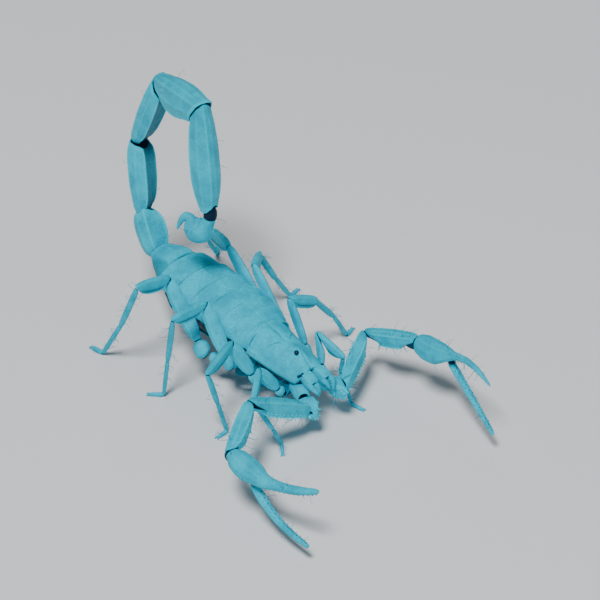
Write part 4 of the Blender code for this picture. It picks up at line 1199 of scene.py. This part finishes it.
def build_palp(label):
    elbow, femur, patella, hand, fixed, finger_root, finger = PALP_POSE[label]
    front, femur_notch, patella_notch, patella_side = PALP_NOTCHES[label]
    sign = 1 if label == "left" else -1
    elbow = np.array(elbow)
    root, tip = np.array(TROCHANTERS[label])
    d = unit(tip - root)
    ways = [way(*limb[:2]) for limb in (femur, patella, hand)]
    body, _ = sclerite_piece(
        "pedipalp_trochanter_" + label, "pedipalp_cuticle", PALP, root, *heading_of(d),
        np.linalg.norm(tip - root), scaled(PALP_ROOT_STATIONS, 1.0), ((50, 1.06), (130, 1.06)),
        ((50, 0.08, 8, 0.16, 0.08, 0.95), (130, 0.08, 8, 0.16, 0.08, 0.95)), 0.5, None, ways[0],
        rings=50, sides=56)
    normal = ring_normals(body)
    for _ in range(90):
        i = int(RNG.integers(len(body) // 3, len(body) - 3))
        j = int(RNG.integers(0, 56))
        if normal[i, j][2] < 0.35:
            lean = normal[i, j] + d * 0.4 - np.array((0, 0, 0.3))
            add_site("spines", body[i, j] - normal[i, j] * 0.02, lean, 0.13 * RNG.uniform(0.5, 1.3))
    scatter_bristles(body, 14, d * 0.4, 0.2, 0.9, 1.3)
    stations = [(0.00, 0, 0, 0.27, 0.29), (0.05, 0, 0, 0.37, 0.39)]
    for f in np.linspace(0.14, 0.90, 8):
        swell = math.sin(math.pi * (0.18 + 0.66 * f))
        stations.append((f, 0, -0.06 * swell, 0.28 + 0.20 * swell, 0.34 + 0.28 * swell))
    stations += [(0.965, 0, 0, 0.37, 0.40), (1.0, 0, 0, 0.30, 0.32)]
    body, f = sclerite_piece(
        "pedipalp_femur_" + label, "pedipalp_cuticle", PALP, elbow, *femur, stations, PALP_CORNERS,
        PALP_KEELS, 0.20, d, ways[1], rings=120, sides=80, neck=0.16, socket=0.28, rim=0.2,
        notch=femur_notch, notch_at=front, notch_width=58)
    for angle, size in ((46, 0.040), (-46, 0.040), (134, 0.15), (-134, 0.15)):
        group = "spines" if abs(angle) > 90 else "palp_granules"
        bead_row(group, body, f, angle, femur[2], 0.30, 0.08, 0.92, size)
    for angle in (116, -116):
        bead_row("spines", body, f, angle, femur[2], 0.34, 0.12, 0.9, 0.10)
    scatter_bristles(body, 26, ways[0] * 0.3, 0.05, 0.95, 1.2)
    elbow = elbow + ways[0] * femur[2]
    stations = [(0.00, 0, 0, 0.25, 0.27), (0.05, 0, 0, 0.36, 0.38)]
    for f in np.linspace(0.13, 0.90, 8):
        swell = math.sin(math.pi * (0.10 + 0.74 * f)) ** 0.8
        stations.append((f, 0.06 * sign * swell, 0, 0.28 + 0.29 * swell, 0.28 + 0.26 * swell))
    stations += [(0.965, 0, 0, 0.41, 0.39), (1.0, 0, 0, 0.34, 0.33)]
    body, f = sclerite_piece(
        "pedipalp_patella_" + label, "pedipalp_cuticle", PALP, elbow, *patella, stations, PALP_CORNERS,
        PALP_KEELS + ((4, 0.05, 7, 0.3, 0.08, 0.95),), 0.28, ways[0], ways[2], rings=120, sides=80,
        neck=0.24, socket=0.34, rim=0.2, notch=patella_notch, notch_at=patella_side, notch_width=50,
        root_notch=0.45, root_notch_at=front)
    for angle in (46, -46, 134, -134):
        bead_row("palp_granules", body, f, angle, patella[2], 0.26, 0.08, 0.94, 0.042)
    inner = -134 if label == "right" else 134
    bead_row("spines", body, f, inner, patella[2], 0.9, 0.14, 0.66, 0.16)
    scatter_bristles(body, 24, ways[1] * 0.3, 0.05, 0.95, 1.1)
    build_hand(label, elbow + ways[1] * patella[2], hand, fixed, ways[1])
    build_finger(label, finger_root, finger)


# Hand and fixed finger: bow of the finger, lift of its root, then place along, lift, half width and half
# height of the palm, and place along, half width and half height of the finger
HAND_SHAPES = {
    "right": (-0.24, 0.14, ((0.07, 0.0, 0.50, 0.48), (0.25, -0.05, 0.74, 0.72), (0.50, -0.06, 0.82, 0.78),
                            (0.72, 0.06, 0.76, 0.68), (0.90, 0.10, 0.62, 0.56)),
              ((0.03, 0.52, 0.48), (0.13, 0.42, 0.39), (0.27, 0.36, 0.335), (0.44, 0.325, 0.30),
               (0.62, 0.30, 0.28), (0.80, 0.255, 0.235), (0.93, 0.21, 0.19), (0.985, 0.15, 0.14),
               (1.00, 0.05, 0.045))),
    "left": (0.64, 0.30, ((0.09, 0.02, 0.58, 0.62), (0.17, -0.04, 0.68, 0.77), (0.34, -0.09, 0.76, 0.83),
                          (0.56, -0.06, 0.78, 0.80), (0.74, 0.08, 0.72, 0.66), (0.90, 0.22, 0.58, 0.50)),
             ((0.03, 0.40, 0.36), (0.13, 0.30, 0.27), (0.27, 0.25, 0.225), (0.44, 0.225, 0.205),
              (0.62, 0.20, 0.18), (0.80, 0.155, 0.14), (0.93, 0.10, 0.09), (0.985, 0.05, 0.045),
              (1.00, 0.012, 0.012))),
}


HAND_CORNERS = ((0, 1.0), (35, 1.03), (70, 1.0), (110, 1.0), (145, 1.03), (180, 1.0))
HAND_KEELS = ((35, 0.035, 5, 0.22, 0.03, 0.46), (72, 0.025, 5, 0.22, 0.03, 0.42),
              (110, 0.025, 5, 0.22, 0.03, 0.42), (148, 0.035, 5, 0.22, 0.03, 0.42),
              (0, 0.03, 5, 0.22, 0.03, 0.5))


def build_hand(label, wrist, hand, fixed, before):
    """Swollen hand that runs on into the fixed finger."""
    skin = Skin("hand_" + label + "_skin", "pedipalp_cuticle", "hand_" + label)
    heading, pitch, length = hand
    d = way(heading, pitch)
    up = over(heading, pitch)
    knuckle = wrist + d * length
    finger_way = way(*fixed[:2])
    bow, root_lift, palm, finger = HAND_SHAPES[label]
    path = [wrist + d * (0.0 if label == "right" else 0.10) - before * 0.02 + up * 0.04]
    wide = [palm[0][2] * 0.74]
    high = [palm[0][3] * 0.74]
    for f, lift, w, h in palm:
        path.append(wrist + d * f * length + up * lift)
        wide.append(w)
        high.append(h)
    for f, w, h in finger:
        lift = bow * math.sin(math.pi * f) + root_lift * (1 - f) ** 2
        path.append(knuckle + finger_way * fixed[2] * f + up * lift)
        wide.append(w)
        high.append(h)
    points, crest, f = sweep(path, wide, high, up, rings=220, sides=72, corners=HAND_CORNERS,
                             keels=HAND_KEELS, round_off=0.6)
    joint = np.zeros(crest.shape)
    joint[f < 0.012] = 1.0
    skin.add_tube(points, crest, joint)
    neck = [wrist - before * 0.85 - up * 0.10, wrist - before * 0.45 - up * 0.20, wrist - up * 0.24,
            wrist + d * (palm[0][0] * length + 0.15) - up * 0.18]
    inside, plain, _ = sweep(neck, (0.26, 0.34, 0.38, 0.36), (0.26, 0.36, 0.42, 0.42), up,
                             rings=30, sides=32)
    skin.add_tube(inside, plain, np.ones(plain.shape), finish=1)
    skin.build(PALP, MEMBRANE)
    tooth_rows(points, 180, 0.46, 0.97)
    scatter_bristles(points, 34, d * 0.3, 0.05, 0.95, 0.9)


TOOTH_ROW = 11


def tooth_rows(points, angle, low, high):
    """Row of dark denticles along the biting edge of a finger, with larger ones between the short rows."""
    m, n, _ = points.shape
    normal = ring_normals(points)
    j = int(round(angle / 360 * n)) % n
    for count, i in enumerate(range(int(low * m), int(high * m))):
        size = 0.075 if count % TOOTH_ROW == 0 else 0.034
        add_site("denticles", points[i, j] - normal[i, j] * 0.01, normal[i, j], size)
        if count % TOOTH_ROW == 5:
            for k in ((j + 5) % n, (j - 5) % n):
                add_site("denticles", points[i, k], normal[i, k], 0.06)


def build_finger(label, root, pose):
    skin = Skin("movable_finger_" + label + "_skin", "pedipalp_cuticle", "movable_finger_" + label)
    heading, pitch, length = pose
    d = way(heading, pitch)
    up = over(heading, pitch)
    root = np.array(root)
    path = []
    wide = []
    high = []
    thick = 1.0 if label == "right" else 0.86
    for f, w, h in ((-0.035, 0.14, 0.12), (0.00, 0.24, 0.21), (0.04, 0.30, 0.27), (0.16, 0.315, 0.28),
                    (0.32, 0.29, 0.255), (0.50, 0.265, 0.235), (0.68, 0.235, 0.21), (0.84, 0.205, 0.185),
                    (0.95, 0.17, 0.155), (0.99, 0.12, 0.11), (1.00, 0.05, 0.045)):
        bow = (-0.62 if label == "right" else 0.02) * math.sin(math.pi * max(0.0, f) ** 0.9)
        path.append(root + d * length * f + up * bow)
        wide.append(w * thick)
        high.append(h * thick)
    points, crest, f = sweep(path, wide, high, up, rings=150, sides=48,
                                keels=((90, 0.03, 8, 0.2, 0.05, 0.6), (180, 0.04, 8, 0, 0.05, 0.7)))
    joint = np.zeros(crest.shape)
    joint[f < 0.03] = 1.0
    skin.add_tube(points, crest, joint)
    hollow = [root + up * lift + d * reach for lift, reach in
              ((0.12, -0.30), (0.14, -0.12), (0.15, 0.12), (0.10, 0.34))]
    inside, plain, _ = sweep(hollow, (0.08, 0.22, 0.24, 0.08), (0.08, 0.26, 0.27, 0.08), up,
                             rings=24, sides=28)
    skin.add_tube(inside, plain, np.ones(plain.shape), finish=1)
    skin.build(PALP, MEMBRANE)
    tooth_rows(points, 0, 0.14, 0.97)
    scatter_bristles(points, 22, d * 0.3, 0.06, 0.95, 0.8)


# Granules, spines, bristles and denticles, set on their sites by Geometry Nodes

def new_node(tree, kind, links=(), **values):
    """Node of one kind; links are pairs of an input and the socket that feeds it, values set other inputs."""
    node = tree.nodes.new(kind)
    for label, value in values.items():
        node.inputs[label.replace("_", " ")].default_value = value
    for label, socket in links:
        tree.links.new(socket, node.inputs[label])
    return node


def cone_shape(tree, given):
    cone = new_node(tree, "GeometryNodeMeshCone", (
        ("Radius Top", given["Tip Radius"]), ("Radius Bottom", given["Base Radius"]),
        ("Depth", given["Length"])), Vertices=6, Side_Segments=2)
    return cone.outputs["Mesh"]


def bristle_shape(tree, given):
    """Thin bent hair that tapers from its base to its tip."""
    tip = new_node(tree, "ShaderNodeCombineXYZ", (("Z", given["Length"]),), X=0.30)
    line = new_node(tree, "GeometryNodeCurvePrimitiveBezierSegment", (("End", tip.outputs["Vector"]),),
                    Resolution=5, Start=(0, 0, 0), Start_Handle=(0, 0, 0.40), End_Handle=(0.10, 0, 0.75))
    run = new_node(tree, "GeometryNodeSplineParameter")
    taper = new_node(tree, "ShaderNodeMapRange", (
        ("Value", run.outputs["Factor"]), ("To Min", given["Base Radius"]), ("To Max", given["Tip Radius"])))
    rim = new_node(tree, "GeometryNodeCurvePrimitiveCircle", Resolution=4, Radius=1.0)
    tube = new_node(tree, "GeometryNodeCurveToMesh", (
        ("Curve", line.outputs["Curve"]), ("Scale", taper.outputs["Result"]),
        ("Profile Curve", rim.outputs["Curve"])), Fill_Caps=True)
    return tube.outputs["Mesh"]


def dome_shape(tree, given):
    ball = new_node(tree, "GeometryNodeMeshIcoSphere", (("Radius", given["Base Radius"]),), Subdivisions=2)
    return ball.outputs["Mesh"]


def site_tree(name, shape):
    """Geometry Nodes tree that stands one small shape on every site, at its lean and its size."""
    tree = bpy.data.node_groups.new(name, "GeometryNodeTree")
    for label, kind, value in (
            ("Sites", "NodeSocketGeometry", None), ("Length", "NodeSocketFloat", 1.0),
            ("Base Radius", "NodeSocketFloat", 0.5), ("Tip Radius", "NodeSocketFloat", 0.1),
            ("Seed", "NodeSocketInt", 3), ("Spread", "NodeSocketFloat", 0.15),
            ("Finish", "NodeSocketMaterial", None)):
        socket = tree.interface.new_socket(name=label, in_out="INPUT", socket_type=kind)
        if value is not None:
            socket.default_value = value
    tree.interface.new_socket(name="Geometry", in_out="OUTPUT", socket_type="NodeSocketGeometry")
    given = tree.nodes.new("NodeGroupInput").outputs
    points = new_node(tree, "GeometryNodeMeshToPoints", (("Mesh", given["Sites"]),))
    lean = new_node(tree, "GeometryNodeInputNamedAttribute", Name="lean")
    lean.data_type = "FLOAT_VECTOR"
    size = new_node(tree, "GeometryNodeInputNamedAttribute", Name="size")
    size.data_type = "FLOAT"
    turn = new_node(tree, "FunctionNodeAlignRotationToVector", (("Vector", lean.outputs["Attribute"]),))
    turn.axis = "Z"
    chance = tree.nodes.new("FunctionNodeRandomValue")
    chance.data_type = "FLOAT"
    tree.links.new(math_node(tree, "SUBTRACT", 1.0, given["Spread"]), chance.inputs[2])
    tree.links.new(math_node(tree, "ADD", 1.0, given["Spread"]), chance.inputs[3])
    tree.links.new(given["Seed"], chance.inputs["Seed"])
    scale = math_node(tree, "MULTIPLY", size.outputs["Attribute"], chance.outputs[1])
    place = new_node(tree, "GeometryNodeInstanceOnPoints", (
        ("Points", points.outputs["Points"]), ("Instance", shape(tree, given)),
        ("Rotation", turn.outputs["Rotation"]), ("Scale", scale)))
    real = new_node(tree, "GeometryNodeRealizeInstances", (("Geometry", place.outputs["Instances"]),))
    smooth = new_node(tree, "GeometryNodeSetShadeSmooth", (("Geometry", real.outputs["Geometry"]),))
    paint = new_node(tree, "GeometryNodeSetMaterial", (
        ("Geometry", smooth.outputs["Geometry"]), ("Material", given["Finish"])))
    new_node(tree, "NodeGroupOutput", (("Geometry", paint.outputs["Geometry"]),))
    return tree


def stand_on_sites(name, slot, group, tree, finish, **inputs):
    """Turns the sites of one group into a plain mesh of the tree's shape."""
    rows = SITES[group]
    mesh = bpy.data.meshes.new(name + "_sites")
    mesh.from_pydata([(p * MM + SHIFT).tolist() for p, _, _ in rows], [], [])
    lean = mesh.attributes.new("lean", "FLOAT_VECTOR", "POINT")
    lean.data.foreach_set("vector", np.array([v for _, v, _ in rows], np.float32).reshape(-1))
    size = mesh.attributes.new("size", "FLOAT", "POINT")
    size.data.foreach_set("value", np.array([s * MM for _, _, s in rows], np.float32))
    carrier = bpy.data.objects.new(name + "_sites", mesh)
    bpy.context.scene.collection.objects.link(carrier)
    modifier = carrier.modifiers.new("sites", "NODES")
    modifier.node_group = tree
    wanted = {"Finish": finish, **{k.replace("_", " "): v for k, v in inputs.items()}}
    for item in tree.interface.items_tree:
        if item.item_type == "SOCKET" and item.in_out == "INPUT" and item.name in wanted:
            modifier[item.identifier] = wanted[item.name]
    shape = carrier.evaluated_get(bpy.context.evaluated_depsgraph_get())
    made = bpy.data.objects.new(name, bpy.data.meshes.new_from_object(shape))
    made.data.name = name
    bpy.data.objects.remove(carrier, do_unlink=True)
    bpy.context.scene.collection.objects.link(made)
    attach(made, "root")


def build_small_parts():
    dome = site_tree("granule_row", dome_shape)
    cone = site_tree("spine_row", cone_shape)
    hair = site_tree("bristle_row", bristle_shape)
    for name, slot, group in (("tail_granule_rows", "tail_cuticle", "tail_granules"),
                              ("back_granule_rows", "body_cuticle", "back_granules"),
                              ("leg_granule_rows", "leg_cuticle", "leg_granules"),
                              ("palp_granule_rows", "pedipalp_cuticle", "palp_granules")):
        stand_on_sites(name, slot, group, dome, GRANULE, Base_Radius=1.0)
    stand_on_sites("palp_spines", "pedipalp_cuticle", "spines", cone, GRANULE, Length=1.5, Base_Radius=0.55,
                   Tip_Radius=0.10)
    stand_on_sites("small_teeth", "body_cuticle", "small_teeth", cone, GRANULE, Length=1.3, Base_Radius=0.5,
                   Tip_Radius=0.08)
    stand_on_sites("finger_denticles", "pedipalp_cuticle", "denticles", cone, DENTICLE, Length=1.2,
                   Base_Radius=0.6, Tip_Radius=0.15)
    stand_on_sites("bristles", "leg_cuticle", "bristles", hair, BRISTLE, Length=0.42, Base_Radius=0.0147,
                   Tip_Radius=0.0034, Spread=0.35)


# Floor, light and camera

def build_studio():
    mesh = bpy.data.meshes.new("floor")
    reach = 1.5
    mesh.from_pydata([(-reach, -reach, 0), (reach, -reach, 0), (reach, reach, 0), (-reach, reach, 0)], [],
                     [(0, 1, 2, 3)])
    floor = bpy.data.objects.new("floor", mesh)
    bpy.context.scene.collection.objects.link(floor)
    paper = bpy.data.materials.new("pale_floor")
    paper.use_nodes = True
    shader = paper.node_tree.nodes["Principled BSDF"]
    shader.inputs["Base Color"].default_value = (0.78, 0.79, 0.81, 1)
    shader.inputs["Roughness"].default_value = 0.85
    shader.inputs["Specular IOR Level"].default_value = 0.15
    mesh.materials.append(paper)
    world = bpy.data.worlds.new("soft_world")
    world.use_nodes = True
    world.node_tree.nodes["Background"].inputs["Color"].default_value = (0.90, 0.95, 1.0, 1)
    world.node_tree.nodes["Background"].inputs["Strength"].default_value = 0.10
    bpy.context.scene.world = world
    target = Vector((0.0, 0.0, 0.008))
    lamps = (
        ("key_light", (-0.24, -0.16, 0.48), 0.14, 3.4, (1.0, 1.0, 1.0)),
        ("fill_light", (0.20, -0.55, 0.25), 0.40, 0.30, (0.92, 0.97, 1.0)),
        ("rim_light", (0.25, 0.45, 0.45), 0.35, 0.30, (1.0, 1.0, 1.0)),
    )
    for name, place, size, power, colour in lamps:
        lamp = bpy.data.lights.new(name, "AREA")
        lamp.shape = "DISK"
        lamp.size = size
        lamp.energy = power
        lamp.color = colour
        stand = bpy.data.objects.new(name, lamp)
        stand.location = place
        stand.rotation_euler = (target - Vector(place)).to_track_quat("-Z", "Y").to_euler()
        bpy.context.scene.collection.objects.link(stand)


CAMERA_AZIMUTH = -39
CAMERA_ELEVATION = 34
CAMERA_DISTANCE = 0.260
FRAME_PX = 600
PX_PER_MM = 15.3
AIM_MM = (0.0, 8.0, 6.0)
AIM_PX = (225.30, 285.75)
SENSOR_MM = 36.0


def build_camera():
    """Camera of the photo's view; it is aimed at the middle of the frame, so it needs no shift."""
    a = math.radians(CAMERA_AZIMUTH)
    e = math.radians(CAMERA_ELEVATION)
    right = np.array((math.cos(a), math.sin(a), 0.0))
    back = np.array((math.sin(a) * math.cos(e), -math.cos(a) * math.cos(e), math.sin(e)))
    up = np.cross(back, right)
    aim = np.array(AIM_MM) * MM + SHIFT
    place = aim + back * CAMERA_DISTANCE
    half = FRAME_PX / 2
    middle = aim + (right * (half - AIM_PX[0]) - up * (half - AIM_PX[1])) / PX_PER_MM * MM
    data = bpy.data.cameras.new("camera")
    data.sensor_width = SENSOR_MM
    data.sensor_fit = "HORIZONTAL"
    data.lens = SENSOR_MM * PX_PER_MM / MM * CAMERA_DISTANCE / FRAME_PX
    data.clip_start = 0.01
    data.clip_end = 10
    camera = bpy.data.objects.new("camera", data)
    camera.location = place
    camera.rotation_euler = Vector(middle - place).to_track_quat("-Z", "Y").to_euler()
    bpy.context.scene.collection.objects.link(camera)
    bpy.context.scene.camera = camera


build_carapace()
build_eyes()
build_mesosoma()
build_coxosternum()
for palp_side, palp_sign in (("left", 1), ("right", -1)):
    build_chelicera(palp_side, palp_sign)
    build_pecten(palp_side, palp_sign)
    build_palp(palp_side)
for leg_label in LEG_POSE:
    build_leg(leg_label)
build_telson(build_tail())
build_small_parts()
build_studio()
build_camera()

bpy.context.view_layer.update()
